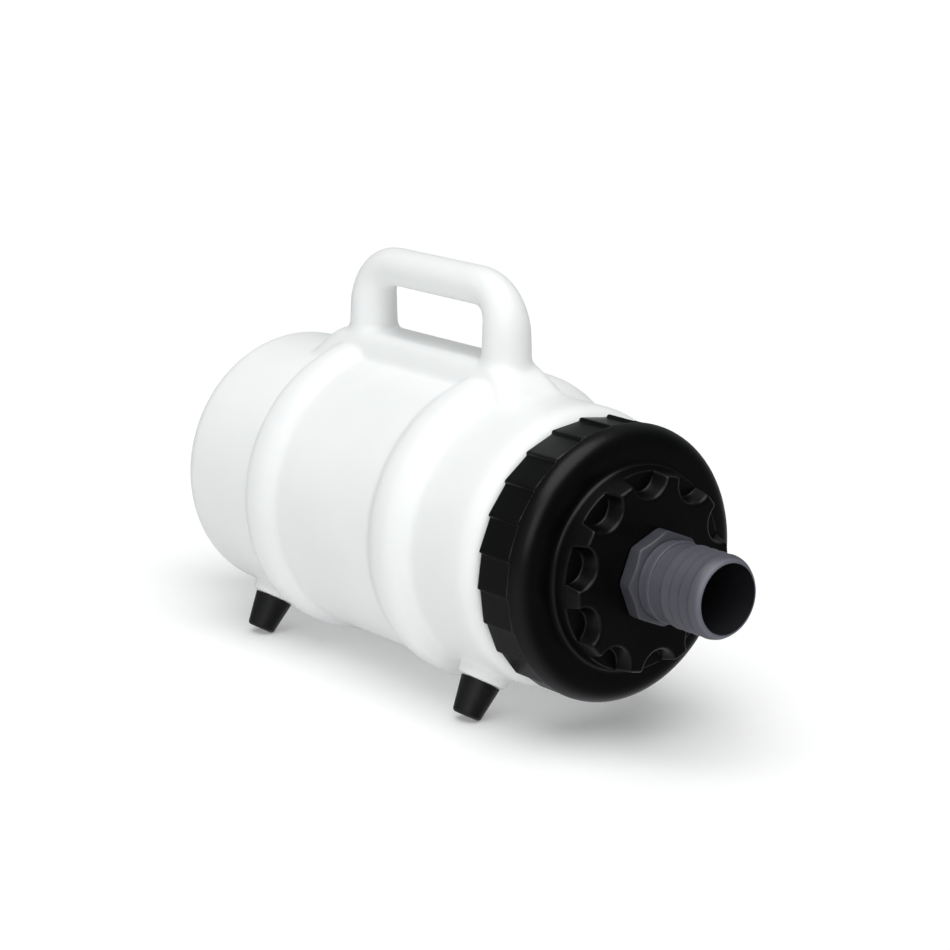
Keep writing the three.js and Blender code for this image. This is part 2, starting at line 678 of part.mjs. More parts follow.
const mediaStart = CARTRIDGE_XS[0] + END_CAP_LENGTH + GAP;
const mediaEnd = CARTRIDGE_XS[1] - END_CAP_LENGTH - GAP;
model.add(piece('cartridge_back_end', makeBackEnd(), BLACK_RUBBER));
model.add(piece('cartridge_front_end', makeFrontEnd(), BLACK_RUBBER));
const core = perforated(CORE_RADII, mediaStart, mediaEnd, { rows: 6, columns: 6, long: 24, wide: 6 });
model.add(piece('cartridge_core', core, WHITE_NYLON));
model.add(piece('cartridge_pleats', makePleats(mediaStart, mediaEnd), MEDIA_FELT));
const sleeve = perforated(SLEEVE_RADII, mediaStart, mediaEnd, { rows: 6, columns: 8, long: 28, wide: 16 });
model.add(piece('cartridge_sleeve', sleeve, WHITE_NYLON));
model.add(piece('cartridge_gasket', ring(
  OUTLET_COLLAR_END_X + GAP,
  SCALLOP_FLOOR_X - CAP_WALL - GAP,
  ...CARTRIDGE_GASKET_RADII,
  TAIL_SEGMENTS,
), BLACK_RUBBER));

FOOT_XS.forEach((x, index) => {
  for (const [side, sideName] of [[-1, 'right'], [1, 'left']]) {
    model.add(footPieces(`${index === 0 ? 'back' : 'front'}_${sideName}`, x, side));
  }
});

export default model;
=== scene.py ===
"""Looks of an in-line bilge water filter canister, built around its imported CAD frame.

Shapes are drawn in millimetres about the canister's own axis: X runs toward the cap, Z is up,
and angles around the axis run from the top toward -Y. Each piece is then set at the axis height
and scaled to metres. A row of a turned shape is one ring of points round the axis.
"""

import json
import math

import bpy
import numpy as np
import openvdb
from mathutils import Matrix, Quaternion, Vector


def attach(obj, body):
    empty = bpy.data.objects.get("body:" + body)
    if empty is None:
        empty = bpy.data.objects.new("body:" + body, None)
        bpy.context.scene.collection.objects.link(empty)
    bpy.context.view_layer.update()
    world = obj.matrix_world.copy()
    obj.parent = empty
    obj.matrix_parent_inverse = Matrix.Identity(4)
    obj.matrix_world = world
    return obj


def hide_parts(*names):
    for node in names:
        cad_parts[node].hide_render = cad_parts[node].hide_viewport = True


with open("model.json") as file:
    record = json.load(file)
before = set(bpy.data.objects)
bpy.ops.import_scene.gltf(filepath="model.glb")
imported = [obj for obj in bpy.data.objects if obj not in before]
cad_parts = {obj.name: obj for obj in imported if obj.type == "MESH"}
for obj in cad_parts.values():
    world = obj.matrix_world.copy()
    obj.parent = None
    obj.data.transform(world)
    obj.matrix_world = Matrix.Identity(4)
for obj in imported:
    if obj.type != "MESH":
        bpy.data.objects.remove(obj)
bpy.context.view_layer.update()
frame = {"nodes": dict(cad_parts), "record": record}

MM = 0.001
AXIS_HEIGHT = 85.0
GAP = 0.3
PIECE_SHARP_ANGLE = 46
CAD_SHARP_ANGLE = 30

# The canister's shell.
WALL = 3.0
SEAT_WALL = 4.0
END_RADIUS = 71.0
PANEL_RADIUS = 75.0

HOOP_XS = (-65.3, 44.8)
HOOP_RADIUS = 79.3
HOOP_HALF_WIDTHS = (13.5, 15.0)
HOOP_POWERS = (3.0, 2.3)
HOOP_REACH = 1.25
HOOP_SUNK = 20.0
HOOP_STATIONS = 61
HOOP_FILLET = 1.8

DOME_START_X = -133.1
DOME_DEPTH = 25.8
DOME_POWER = 2.1
DOME_STEPS = 48
INLET_SEAT_X = -157.7
INLET_BOSS_RADIUS = 27.0
INLET_BOSS_EDGE = 1.5
INLET_BOSS_FILLET = 3.0

SHOULDER_XS = (93.0, 106.8)
SHOULDER_POWER = 2.4
SHOULDER_STEPS = 20
NECK_RADIUS = 60.5
NECK_BORE = 57.0
NECK_BORE_OVERLAP = 5.0
NECK_END_X = 133.6

HANDLE_XS = (-65.5, 45.1)
HANDLE_TOP = 129.6
HANDLE_BEND = 23.0
HANDLE_POST_STEPS = 6
HANDLE_BEND_STEPS = 13
HANDLE_FILLET = 3.2
POST_RADII = (12.6, 12.2)
GRIP_RADIUS = 9.9

SADDLE_XS = (-97.0, 69.5)
SADDLE_TOP = 85.0
SADDLE_HALF_WIDTHS = (17.6, 13.0)
SADDLE_EDGE = 5.0
SADDLE_END_EDGE = 9.0
SADDLE_END_LEAN = 1.0
SADDLE_FILLET = 1.2

BOSS_RADIUS = 12.8
BOSS_EDGE = 2.6
BOSS_FILLET = 3.0

# Where the saddle and handle can meet the shell: above a height, within a half width.
UPPER_START = END_RADIUS - 15
UPPER_HALF_WIDTH = 30

# How the shell's surface is found: on a table for the turned outline, then on a grid of voxels. The
# table is read just short of its last place, so that there is always a next one.
SAME_CORNER = 1e-12
TABLE_STEP = 0.5
TABLE_START_X = -172.0
TABLE_SHAPE = (630, 182)
TABLE_END_MARGIN = 1.001
VOXEL = 2.1
BAND = 3 * VOXEL
GRID_MARGIN = 6.0
SETTLING_ROUNDS = 3
SLOPE_STEP = 0.15
LEAST_SLOPE = 0.5

# The threads. The profile runs across the ridge, as (place along the axis, share of the ridge's height),
# and two faces between its six points close each end.
THREAD_PITCH = 6.0
THREAD_TURNS = 1.75
THREAD_STEPS = 210
THREAD_PROFILE = ((1.2, 0), (1.0, 0.45), (0.7, 1), (-0.7, 1), (-1.0, 0.45), (-1.2, 0))
THREAD_END_FACES = ((0, 1, 4, 5), (1, 2, 3, 4))
THREAD_SINK = 0.5
THREAD_FADE_TURNS = 1 / 12
THREAD_END_SHARE = 0.05
NECK_THREAD_X = 113.0
NECK_THREAD_CREST = 63.1
CAP_THREAD_CREST = 61.3

# The cap.
CAP_BACK_X = 107.6
GRIP_MIDDLE_X = 118.0
GRIP_END_X = 130.2
FACE_X = 140.8
FACE_RADIUS = 57.0
FACE_INNER_RADIUS = 52.4
FACE_FILLET = 2.6
FACE_FILLET_ROWS = 6
CAP_RADIUS = 68.6
CAP_BORE = 64.0
CAP_BORE_CHAMFER = 1.0
CAP_WALL = 4.0
SHOULDER_BULGE = 2.2

# The grip's saw-tooth: each flat rises from the low radius to the high one, and a step falls back.
# Along a flat, the shares place its points and the easings round its two ends. Each point of the
# step stands at some degrees from the next flat's start, at a radius of its own.
FLATS = 24
FLAT_PHASE = 5.4
FLAT_RADII = (67.0, 68.6)
FLAT_MARGINS = (0.25, 0.35)
FLAT_SHARES = np.array([0, 0.03, 0.1, 0.22, 0.36, 0.5, 0.64, 0.78, 0.88, 0.94, 0.975, 1])
FLAT_EASINGS = np.array([0.1, 0.02, 0, 0, 0, 0, 0, 0, 0, -0.02, -0.08, -0.24])
TOOTH_STEP = ((-0.2, FLAT_RADII[1] - 0.6), (-0.02, sum(FLAT_RADII) / 2), (0.14, FLAT_RADII[0] + 0.25))

# The cap's back edge as (along, inset), and the grip's front end as (along, share of the way from the
# saw-tooth to the round shoulder).
CAP_BACK_EDGE = ((0, 1.4), (0.15, 0.75), (0.6, 0.2), (1.3, 0))
GRIP_FADE = ((-0.6, 0.12), (-0.1, 0.45), (0.4, 0.8), (0.9, 0.96))
GRIP_FADE_START = 1.2
SHOULDER_SHARES = np.linspace(0.12, 1, 16)

# The hub, its scallops, and the edge round its front as (along, inset).
HUB_BASE_RADIUS = 50.0
HUB_FRONT_RADIUS = 47.4
HUB_FRONT_X = 157.7
HUB_CAVITY = 46.0
HUB_BORE = 34.0
HUB_CORNER = 1.5
HUB_CORNER_LOSS = 1 / 4
HUB_FRONT_EDGE = ((-1.8, 0), (-1.05, 0.16), (-0.45, 0.55), (-0.1, 1.1), (0, 1.7), (0, 2.6))
PLATEAU_RADII = (33.5, 24.0)
SCALLOPS = 10
SCALLOP_PHASE = 5.0
SCALLOP_CENTRE = 48.6
SCALLOP_RADII = (9.0, 10.9)
SCALLOP_FLOOR_X = 148.8
HUB_WALL_XS = (SCALLOP_FLOOR_X + 1, 153.0)
BAY_STEPS = 18
LOBE_STEPS = 8
CORNER_STEPS = 5

# The rows that cross a scallop's floor, each as (lift where the floor is open, lift where it is closed,
# distance from the wall, and the share of the floor's width that this may take). The floor is fully open
# where it is wider than the opening. The approach is how far below the floor the whole wall's rows lie.
SCALLOP_OPENING = 1.5
SCALLOP_OUTER_ROWS = ((-0.2, -0.2, 0.18, 1 / 4), (0, 0.04, 0.7, 1 / 3))
SCALLOP_MIDDLE_LIFT = 0.1
SCALLOP_INNER_ROWS = ((0, 0.16, 0.9, 1 / 4), (0.28, 0.28, 0.22, 1 / 8))
SCALLOP_APPROACH = (2.0, 0.7)

# The hose tails, from the seat that each one stands on. Rows near an edge are (along, inset from the
# edge's radius), and those of a rise are (along, share of the rise).
TAIL_LENGTH = 48.6
TAIL_COLUMNS = 96
FLANGE_SIDES = 8
FLANGE_RADIUS = 23.7
FLANGE_LENGTH = 8.8
FLANGE_CORNER = 0.3
FLANGE_BACK_EDGE = ((0, 0.7), (0.18, 0.2), (0.7, 0))
FLANGE_FRONT_EDGE = ((-0.6, 0), (-0.12, 0.08))
FLANGE_CHAMFER_RADIUS = 19.9
FLANGE_CHAMFER_ANGLE = 30
FLANGE_CHAMFER_INSETS = (0.5, 1.2)
FLANGE_FACE_EDGE = ((-0.05, -0.1), (0, 0.35))
TAIL_NECK_RADIUS = 18.8
TAIL_NECK_FILLET = ((0, -0.5), (0.15, -0.12), (0.6, 0))
LIP_RADIUS = 20.0
LIP = (12.8, 16.2)
LIP_RISE = ((-0.5, 0), (-0.12, 0.1), (0, 0.375), (0.12, 0.75), (0.4, 0.95), (0.8, 1))
RIDGE_START = 24.3
RIDGE_STEP = 6.0
RIDGES = 4
RIDGE_RADIUS = 20.3
RIDGE_ROOT = 19.75
RIDGE_ROOT_OFFSET = -0.25
RIDGE_ROWS = ((0.05, 0.4), (0.3, 0.08), (0.75, 0), (1.5, 0.06))
FIRST_RIDGE_FOOT = ((-0.5, 0), (-0.1, -0.12))
TIP_OFFSET = 2.0
TIP_INSET = 0.1
TIP_SHARES = (0.25, 0.5, 0.75, 0.92)
TIP_POWER = 1.5
MOUTH_RADIUS = 17.6
MOUTH_OUTER_EDGE = ((-0.18, 0), (0, 0.2))
MOUTH_INNER_EDGE = ((0, -0.15), (-0.2, 0))
TAIL_BORE = 16.6
STEM_RADIUS = 21.0
STEM_LENGTH = 20.0
STEM_CHAMFER = 1.0
STEM_ROOT_EDGE = ((-0.4, 0), (0, -0.1))
# Painted light on the hose tails: painted shade in the bore and on the stem and flange, as shares of
# darkening, and a painted highlight round the mouth's rim, as a share of lightening over a length.
BORE_PAINTED_SHADE = 0.85
FLANGE_PAINTED_SHADE = 0.42
RIM_PAINTED_HIGHLIGHT = 0.6
RIM_PAINTED_HIGHLIGHT_LENGTH = 1.3
PAINTED_SHADE_MARGIN = 0.05

# The feet.
FOOT_XS = (-105.5, 74.7)
FOOT_SPLAY = 30.0
FOOT_TOP = 77.2
FOOT_END = 95.7
FOOT_RADII = (10.3, 7.3)
FOOT_COLUMNS = 64
FOOT_SEAT_EDGE = ((0, 0.5), (0.15, 0.12))
FOOT_SIDE_STARTS = (0.6, 3.0)
FOOT_SIDE_MARGIN = 0.5
FOOT_SIDE_ROWS = 5
FOOT_EDGE = 2.0
FOOT_EDGE_START = 0.1
FOOT_EDGE_ROWS = 7
FOOT_RECESS_RADIUS = 3.9
FOOT_RECESS_DEPTH = 6.0
FOOT_RECESS_EDGE = ((0, -0.4), (-0.12, -0.1), (-0.5, 0))
SCREW_CLEARANCE = 2.3

# A finish's noises: the ends of their useful ranges, and the heights of their bumps in metres.
DRIFT_ENDS = (0.3, 0.7)
GRAIN_ENDS = (0.25, 0.75)
WAVE_HEIGHT = 0.001
GRAIN_HEIGHT = 0.0002

# The stage: places and sizes in metres, angles in degrees. Each dim side of the room is (direction,
# share of the light that is left there).
CAMERA_PLACE = (1.0228, -0.8017, 0.4289)
CAMERA_TARGET = (0.0207, 0, 0.1063)
CAMERA_ROLL = 0.4
CAMERA_LENS = 98.5
CAMERA_SENSOR = 36
CAMERA_FAR = 60
FLOOR_HALF = 15
FLOOR_TONE = 0.8
FLOOR_GLOW = 0.23
SUN_FROM = (0.4, -0.25, 1.3)
SUN_SPREAD = 60
SUN_STRENGTH = 2.5
SIDE_LAMP_PLACE = (1.25, -1.1, 0.75)
SIDE_LAMP_TARGET = (0.0, 0.0, 0.09)
SIDE_LAMP_SIZE = 0.9
SIDE_LAMP_POWER = 6
WALL_LIGHT = (0.415, 0.43, 0.427)
GROUND_LIGHT = (0.86, 0.86, 0.9)
GROUND_ENDS = (-0.25, 0.05)
DIM_SIDES = (((0.87, 0.5, 0.0), 0.2), ((-1.0, 0.0, 0.0), 0.4))
DIM_ENDS = (-0.1, 0.8)


# ---------------------------------------------------------------- materials


def node_tree(owner):
    """Empties the nodes of a material or a world; gives a function that adds a node, set and linked."""
    owner.use_nodes = True
    tree = owner.node_tree
    tree.nodes.clear()

    def add(kind, inputs=None, **settings):
        node = tree.nodes.new(kind)
        for key, value in settings.items():
            setattr(node, key, value)
        for key, value in (inputs or {}).items():
            if isinstance(value, bpy.types.NodeSocket):
                tree.links.new(value, node.inputs[key])
            else:
                node.inputs[key].default_value = value
        return node

    return add


def finish_material(name, light, dark, roughness, patch, grain, bump, **shader):
    """A moulded finish: colour that drifts between two tones over patches of a given size, and gloss
    that varies with a finer surface grain, which lies over a slow waviness. Sizes are in millimetres,
    and bump holds the strengths of the waviness and the grain. Where a mesh carries painted light, the
    colour is darkened by it from 0 to 1 as painted shade, or lightened below zero as a painted highlight."""
    material = bpy.data.materials.new(name)
    add = node_tree(material)
    place = add("ShaderNodeTexCoord").outputs["Object"]
    drift = add("ShaderNodeTexNoise", {"Vector": place, "Scale": 1 / (patch * MM), "Detail": 3.0})
    fine = add("ShaderNodeTexNoise", {
        "Vector": place,
        "Scale": 1 / (grain * MM),
        "Detail": 4.0,
        "Roughness": 0.6,
    })
    tone = add("ShaderNodeMapRange", {
        "Value": drift.outputs["Fac"],
        "From Min": DRIFT_ENDS[0],
        "From Max": DRIFT_ENDS[1],
    })
    colour = add("ShaderNodeMix", {"Factor": tone.outputs["Result"]}, data_type="RGBA")
    colour.inputs["A"].default_value = (*dark, 1)
    colour.inputs["B"].default_value = (*light, 1)
    # Painted light from the mesh: painted shade above zero darkens the colour, a painted highlight below
    # zero lightens it.
    painted_light = add("ShaderNodeAttribute", attribute_name="painted_light")
    painted_light_scale = add("ShaderNodeMath", {0: 1.0, 1: painted_light.outputs["Fac"]}, operation="SUBTRACT")
    shade = add("ShaderNodeVectorMath", {
        0: colour.outputs["Result"],
        "Scale": painted_light_scale.outputs["Value"],
    }, operation="SCALE")
    gloss = add("ShaderNodeMapRange", {
        "Value": fine.outputs["Fac"],
        "From Min": GRAIN_ENDS[0],
        "From Max": GRAIN_ENDS[1],
        "To Min": roughness[0],
        "To Max": roughness[1],
    })
    waves = add("ShaderNodeBump", {
        "Height": drift.outputs["Fac"],
        "Strength": bump[0],
        "Distance": WAVE_HEIGHT,
    })
    skin_bump = add("ShaderNodeBump", {
        "Height": fine.outputs["Fac"],
        "Strength": bump[1],
        "Distance": GRAIN_HEIGHT,
        "Normal": waves.outputs["Normal"],
    })
    body = add("ShaderNodeBsdfPrincipled", {
        "Base Color": shade.outputs["Vector"],
        "Roughness": gloss.outputs["Result"],
        "Normal": skin_bump.outputs["Normal"],
        **shader,
    })
    add("ShaderNodeOutputMaterial", {"Surface": body.outputs["BSDF"]})
    return material


WHITE_HDPE = finish_material(
    "white_hdpe",
    light=(0.85, 0.858, 0.857),
    dark=(0.81, 0.82, 0.82),
    roughness=(0.4, 0.47),
    patch=60,
    grain=1.4,
    bump=(0.25, 0.12),
    **{
        "Subsurface Weight": 0.3,
        "Subsurface Radius": (1.0, 0.97, 0.92),
        "Subsurface Scale": 0.004,
        "IOR": 1.5,
    },
)
BLACK_PLASTIC = finish_material(
    "black_plastic",
    light=(0.0018, 0.0018, 0.002),
    dark=(0.001, 0.001, 0.0012),
    roughness=(0.26, 0.36),
    patch=25,
    grain=0.8,
    bump=(0.1, 0.16),
    **{"IOR": 1.45, "Specular IOR Level": 0.22},
)
GREY_PLASTIC = finish_material(
    "grey_plastic",
    light=(0.073, 0.074, 0.092),
    dark=(0.063, 0.064, 0.079),
    roughness=(0.4, 0.5),
    patch=14,
    grain=0.7,
    bump=(0.1, 0.14),
    **{"IOR": 1.5},
)
BLACK_RUBBER = finish_material(
    "black_rubber",
    light=(0.007, 0.0068, 0.0074),
    dark=(0.004, 0.004, 0.0044),
    roughness=(0.38, 0.5),
    patch=9,
    grain=0.5,
    bump=(0.12, 0.4),
    **{"IOR": 1.48, "Specular IOR Level": 0.34},
)
SEAL_RUBBER = finish_material(
    "seal_rubber",
    light=(0.02, 0.02, 0.021),
    dark=(0.012, 0.012, 0.013),
    roughness=(0.6, 0.75),
    patch=12,
    grain=0.4,
    bump=(0.08, 0.3),
)
END_CAP_RUBBER = finish_material(
    "end_cap_rubber",
    light=(0.03, 0.031, 0.036),
    dark=(0.018, 0.019, 0.023),
    roughness=(0.5, 0.66),
    patch=18,
    grain=0.6,
    bump=(0.1, 0.3),
)
STAINLESS = finish_material(
    "stainless_steel",
    light=(0.62, 0.63, 0.64),
    dark=(0.5, 0.51, 0.52),
    roughness=(0.22, 0.38),
    patch=3,
    grain=0.25,
    bump=(0.05, 0.2),
    **{"Metallic": 1.0},
)
FELT = finish_material(
    "filter_felt",
    light=(0.78, 0.75, 0.66),
    dark=(0.66, 0.63, 0.54),
    roughness=(0.85, 0.98),
    patch=7,
    grain=0.35,
    bump=(0.2, 0.9),
    **{"Sheen Weight": 0.3, "Sheen Roughness": 0.6},
)
WHITE_NYLON = finish_material(
    "white_nylon",
    light=(0.72, 0.73, 0.72),
    dark=(0.64, 0.65, 0.645),
    roughness=(0.42, 0.55),
    patch=20,
    grain=0.6,
    bump=(0.08, 0.16),
    **{"Subsurface Weight": 0.15, "Subsurface Scale": 0.002},
)


# ---------------------------------------------------------------- pieces


def add_piece(name, points, faces, body, slot, material, *nodes):
    """A smooth piece from points in millimetres about the axis; it rides on a body and stands for nodes."""
    points = np.asarray(points, float)
    faces = np.asarray(faces, int)
    first, second, third, fourth = (points[faces[:, k]] for k in range(4))
    volume = np.einsum("ij,ij->i", first, np.cross(second, third)).sum()
    volume += np.einsum("ij,ij->i", first, np.cross(third, fourth)).sum()
    if volume < 0:
        faces = faces[:, ::-1]
    placed = (points + (0, 0, AXIS_HEIGHT)) * MM
    mesh = bpy.data.meshes.new(name)
    mesh.from_pydata(placed.tolist(), [], faces.tolist())
    mesh.shade_smooth()
    mesh.set_sharp_from_angle(angle=math.radians(PIECE_SHARP_ANGLE))
    mesh.materials.append(material)
    made = bpy.data.objects.new(name, mesh)
    bpy.context.scene.collection.objects.link(made)
    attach(made, body)
    if nodes:
        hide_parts(*nodes)
    return made


def weigh_normals(made):
    """Keeps flat faces flat next to their rounded edges."""
    modifier = made.modifiers.new("flat_faces", "WEIGHTED_NORMAL")
    modifier.keep_sharp = True


def skin(rows):
    """Points and faces of a closed tube of rows; each row is a closed ring with the same count of points."""
    rows = np.asarray(rows, float)
    count, columns = rows.shape[:2]
    index = np.arange(count * columns).reshape(count, columns)
    down = np.roll(index, -1, axis=0)
    across = np.roll(index, -1, axis=1)
    diagonal = np.roll(down, -1, axis=1)
    faces = np.stack([index, across, diagonal, down], axis=-1).reshape(-1, 4)
    return rows.reshape(-1, 3), faces


def circle(x, radius, angles):
    """A ring of points round the axis; x and radius may be one number each, or one for each angle."""
    turn = np.radians(angles)
    return np.stack(np.broadcast_arrays(x, -radius * np.sin(turn), radius * np.cos(turn)), axis=-1)


def edge_rows(place, radius, edge):
    """The rows near one edge of a turned piece, as (along, radius), from (along, inset) of each."""
    return [(place + along, radius - inset) for along, inset in edge]


# ---------------------------------------------------------------- the canister's shell


def smooth_union(a, b, width):
    """The lower of two distances, with a fillet about 0.85 times width in radius where they meet."""
    mix = np.clip(0.5 + 0.5 * (b - a) / width, 0, 1)
    return b + (a - b) * mix - width * mix * (1 - mix)


def smooth_cut(a, b, width):
    """The higher of two distances, with a rounded edge where they meet."""
    return -smooth_union(-a, -b, width)


def quarter(power, steps):
    """A superellipse's quarter, as (along, across) fractions from its tip on the axis to its rim."""
    turn = np.linspace(0, math.pi / 2, steps)
    return list(zip(np.cos(turn) ** (2 / power), np.sin(turn) ** (2 / power)))


def polygon_distance(x, y, corners):
    """Distance to a closed polygon, below zero inside it."""
    best = np.full(x.shape, np.inf)
    inside = np.zeros(x.shape, bool)
    for (ax, ay), (bx, by) in zip(corners, corners[1:] + corners[:1]):
        run = bx - ax
        rise = by - ay
        length = run * run + rise * rise
        if length < SAME_CORNER:
            continue
        share = np.clip(((x - ax) * run + (y - ay) * rise) / length, 0, 1)
        best = np.minimum(best, (x - ax - share * run) ** 2 + (y - ay - share * rise) ** 2)
        if ay != by:
            crosses = (ay > y) != (by > y)
            inside ^= crosses & (x < ax + (y - ay) * run / rise)
    return np.where(inside, -1, 1) * np.sqrt(best)


def base_outline():
    """Half of the shell's outline without its hoops, then its mirror image across the axis."""
    half = [(DOME_START_X - along * DOME_DEPTH, across * END_RADIUS)
            for along, across in quarter(DOME_POWER, DOME_STEPS)]
    half += [(HOOP_XS[0], END_RADIUS), (HOOP_XS[0], PANEL_RADIUS),
             (HOOP_XS[1], PANEL_RADIUS), (HOOP_XS[1], END_RADIUS)]
    depth = SHOULDER_XS[1] - SHOULDER_XS[0]
    half += [(SHOULDER_XS[0] + along * depth, NECK_RADIUS + across * (END_RADIUS - NECK_RADIUS))
             for across, along in quarter(SHOULDER_POWER, SHOULDER_STEPS)]
    half += [(NECK_END_X, NECK_RADIUS)]
    return half + [(x, -r) for x, r in reversed(half)]


def hoop_outline(index):
    """One rounded hoop: it falls further on the side that faces the canister's end."""
    outline = []
    for share in np.linspace(-HOOP_REACH, HOOP_REACH, HOOP_STATIONS):
        outward = (share < 0) == (index == 0)
        base = END_RADIUS if outward else PANEL_RADIUS
        side = int(share > 0)
        drop = (HOOP_RADIUS - base) * abs(share) ** HOOP_POWERS[side]
        outline.append((HOOP_XS[index] + share * HOOP_HALF_WIDTHS[side], HOOP_RADIUS - drop))
    low = END_RADIUS - HOOP_SUNK
    return outline + [(outline[-1][0], low), (outline[0][0], low)]


def profile_table():
    """Distances to the turned outline, on a fine grid of places along and out from the axis."""
    x = TABLE_START_X + TABLE_STEP * np.arange(TABLE_SHAPE[0])[:, None] + np.zeros(TABLE_SHAPE)
    r = TABLE_STEP * np.arange(TABLE_SHAPE[1])[None, :] + np.zeros(TABLE_SHAPE)
    table = polygon_distance(x, r, base_outline())
    for index in (0, 1):
        table = smooth_union(table, polygon_distance(x, r, hoop_outline(index)), HOOP_FILLET)
    return table


TURNED = profile_table()


def turned_distance(x, r):
    """The table read between its places."""
    u = np.clip((x - TABLE_START_X) / TABLE_STEP, 0, TABLE_SHAPE[0] - TABLE_END_MARGIN)
    v = np.clip(r / TABLE_STEP, 0, TABLE_SHAPE[1] - TABLE_END_MARGIN)
    i = u.astype(int)
    j = v.astype(int)
    u = u - i
    v = v - j
    near = TURNED[i, j] * (1 - v) + TURNED[i, j + 1] * v
    far = TURNED[i + 1, j] * (1 - v) + TURNED[i + 1, j + 1] * v
    return near * (1 - u) + far * u


def handle_path():
    """The handle's centreline in the plane of X and Z, with the radius at each point."""
    grip = HANDLE_TOP - GRIP_RADIUS
    post_top = grip - HANDLE_BEND
    root = END_RADIUS - WALL
    back, front = HANDLE_XS
    points = []
    for x, side in ((back, 1), (front, -1)):
        leg = [(x, z) for z in np.linspace(root, post_top, HANDLE_POST_STEPS)[:-1]]
        leg += [(x + side * HANDLE_BEND * t * t, grip - HANDLE_BEND * (1 - t) ** 2)
                for t in np.linspace(0, 1, HANDLE_BEND_STEPS)]
        points += leg if side == 1 else leg[::-1]
    radii = []
    for _, z in points:
        up = np.clip((z - SADDLE_TOP) / (post_top - SADDLE_TOP), 0, 1)
        over = np.clip((z - post_top) / HANDLE_BEND, 0, 1)
        over = over * over * (3 - 2 * over)
        post = POST_RADII[0] + (POST_RADII[1] - POST_RADII[0]) * up
        radii.append(post + (GRIP_RADIUS - post) * over)
    return points, radii


HANDLE_POINTS, HANDLE_POINT_RADII = handle_path()


def handle_distance(x, y, z):
    """The handle, as a string of round cones along its centreline."""
    best = np.full(x.shape, np.inf)
    stations = list(zip(HANDLE_POINTS, HANDLE_POINT_RADII))
    for ((ax, az), ra), ((bx, bz), rb) in zip(stations, stations[1:]):
        run = bx - ax
        rise = bz - az
        share = np.clip(((x - ax) * run + (z - az) * rise) / (run * run + rise * rise), 0, 1)
        off = np.sqrt((x - ax - share * run) ** 2 + (z - az - share * rise) ** 2 + y * y)
        best = np.minimum(best, off - ra - share * (rb - ra))
    return best


def saddle_distance(x, y, z):
    """The saddle that the handle stands on: a bar with leaning sides and ends and rounded edges."""
    foot, top = SADDLE_HALF_WIDTHS
    lean = (foot - top) / (SADDLE_TOP - PANEL_RADIUS)
    side = (np.abs(y) - foot + (z - PANEL_RADIUS) * lean) / math.hypot(1, lean)
    across = smooth_cut(side, z - SADDLE_TOP, SADDLE_EDGE)
    middle = sum(SADDLE_XS) / 2
    half = (SADDLE_XS[1] - SADDLE_XS[0]) / 2
    end = (np.abs(x - middle) - half + (z - END_RADIUS) * SADDLE_END_LEAN) / math.hypot(1, SADDLE_END_LEAN)
    whole = smooth_cut(across, end, SADDLE_END_EDGE)
    return np.maximum(whole, END_RADIUS / 2 - z)


def boss_distance(x, y, z, foot_x, side):
    """The round pad that one foot is screwed to."""
    splay = math.radians(FOOT_SPLAY)
    down = y * side * math.sin(splay) - z * math.cos(splay)
    across = y * math.cos(splay) + z * side * math.sin(splay)
    pad = np.hypot(x - foot_x, across) - BOSS_RADIUS
    whole = smooth_cut(pad, down - FOOT_TOP + GAP, BOSS_EDGE)
    return np.maximum(whole, END_RADIUS / 2 - down)


def outside_distance(x, y, z):
    """The canister's outer surface, every moulded feature run together with fillets."""
    r = np.hypot(y, z)
    whole = turned_distance(x, r)
    seat = smooth_cut(r - INLET_BOSS_RADIUS, INLET_SEAT_X - x, INLET_BOSS_EDGE)
    seat = np.maximum(seat, x - DOME_START_X)
    whole = smooth_union(whole, seat, INLET_BOSS_FILLET)
    whole = np.maximum(whole, INLET_SEAT_X - x)
    upper = (z > UPPER_START) & (np.abs(y) < UPPER_HALF_WIDTH)
    at_upper = (x[upper], y[upper], z[upper])
    raised = smooth_union(whole[upper], saddle_distance(*at_upper), SADDLE_FILLET)
    whole[upper] = smooth_union(raised, handle_distance(*at_upper), HANDLE_FILLET)
    for foot_x in FOOT_XS:
        near = (np.abs(x - foot_x) < 2 * BOSS_RADIUS) & (z < 0)
        for side in (-1, 1):
            pad = boss_distance(x[near], y[near], z[near], foot_x, side)
            whole[near] = smooth_union(whole[near], pad, BOSS_FILLET)
    return whole


def shell_distance(x, y, z):
    """The wall: outside, less the hollow, the open neck and the inlet hole."""
    outer = outside_distance(x, y, z)
    r = np.hypot(y, z)
    hollow = np.maximum(outer + WALL, INLET_SEAT_X + SEAT_WALL - x)
    neck = np.maximum(r - NECK_BORE, SHOULDER_XS[1] - NECK_BORE_OVERLAP - x)
    inlet = np.maximum(r - STEM_RADIUS - GAP, x - DOME_START_X)
    empty = np.minimum(np.minimum(hollow, neck), inlet)
    return np.maximum(outer, -empty)


def slope_of(distance, points):
    """How fast a distance changes at each point, along each of the three axes."""
    slope = np.empty_like(points)
    for k in range(3):
        shift = np.zeros(3)
        shift[k] = SLOPE_STEP
        ahead = distance(*(points + shift).T)
        behind = distance(*(points - shift).T)
        slope[:, k] = (ahead - behind) / (2 * SLOPE_STEP)
    return slope


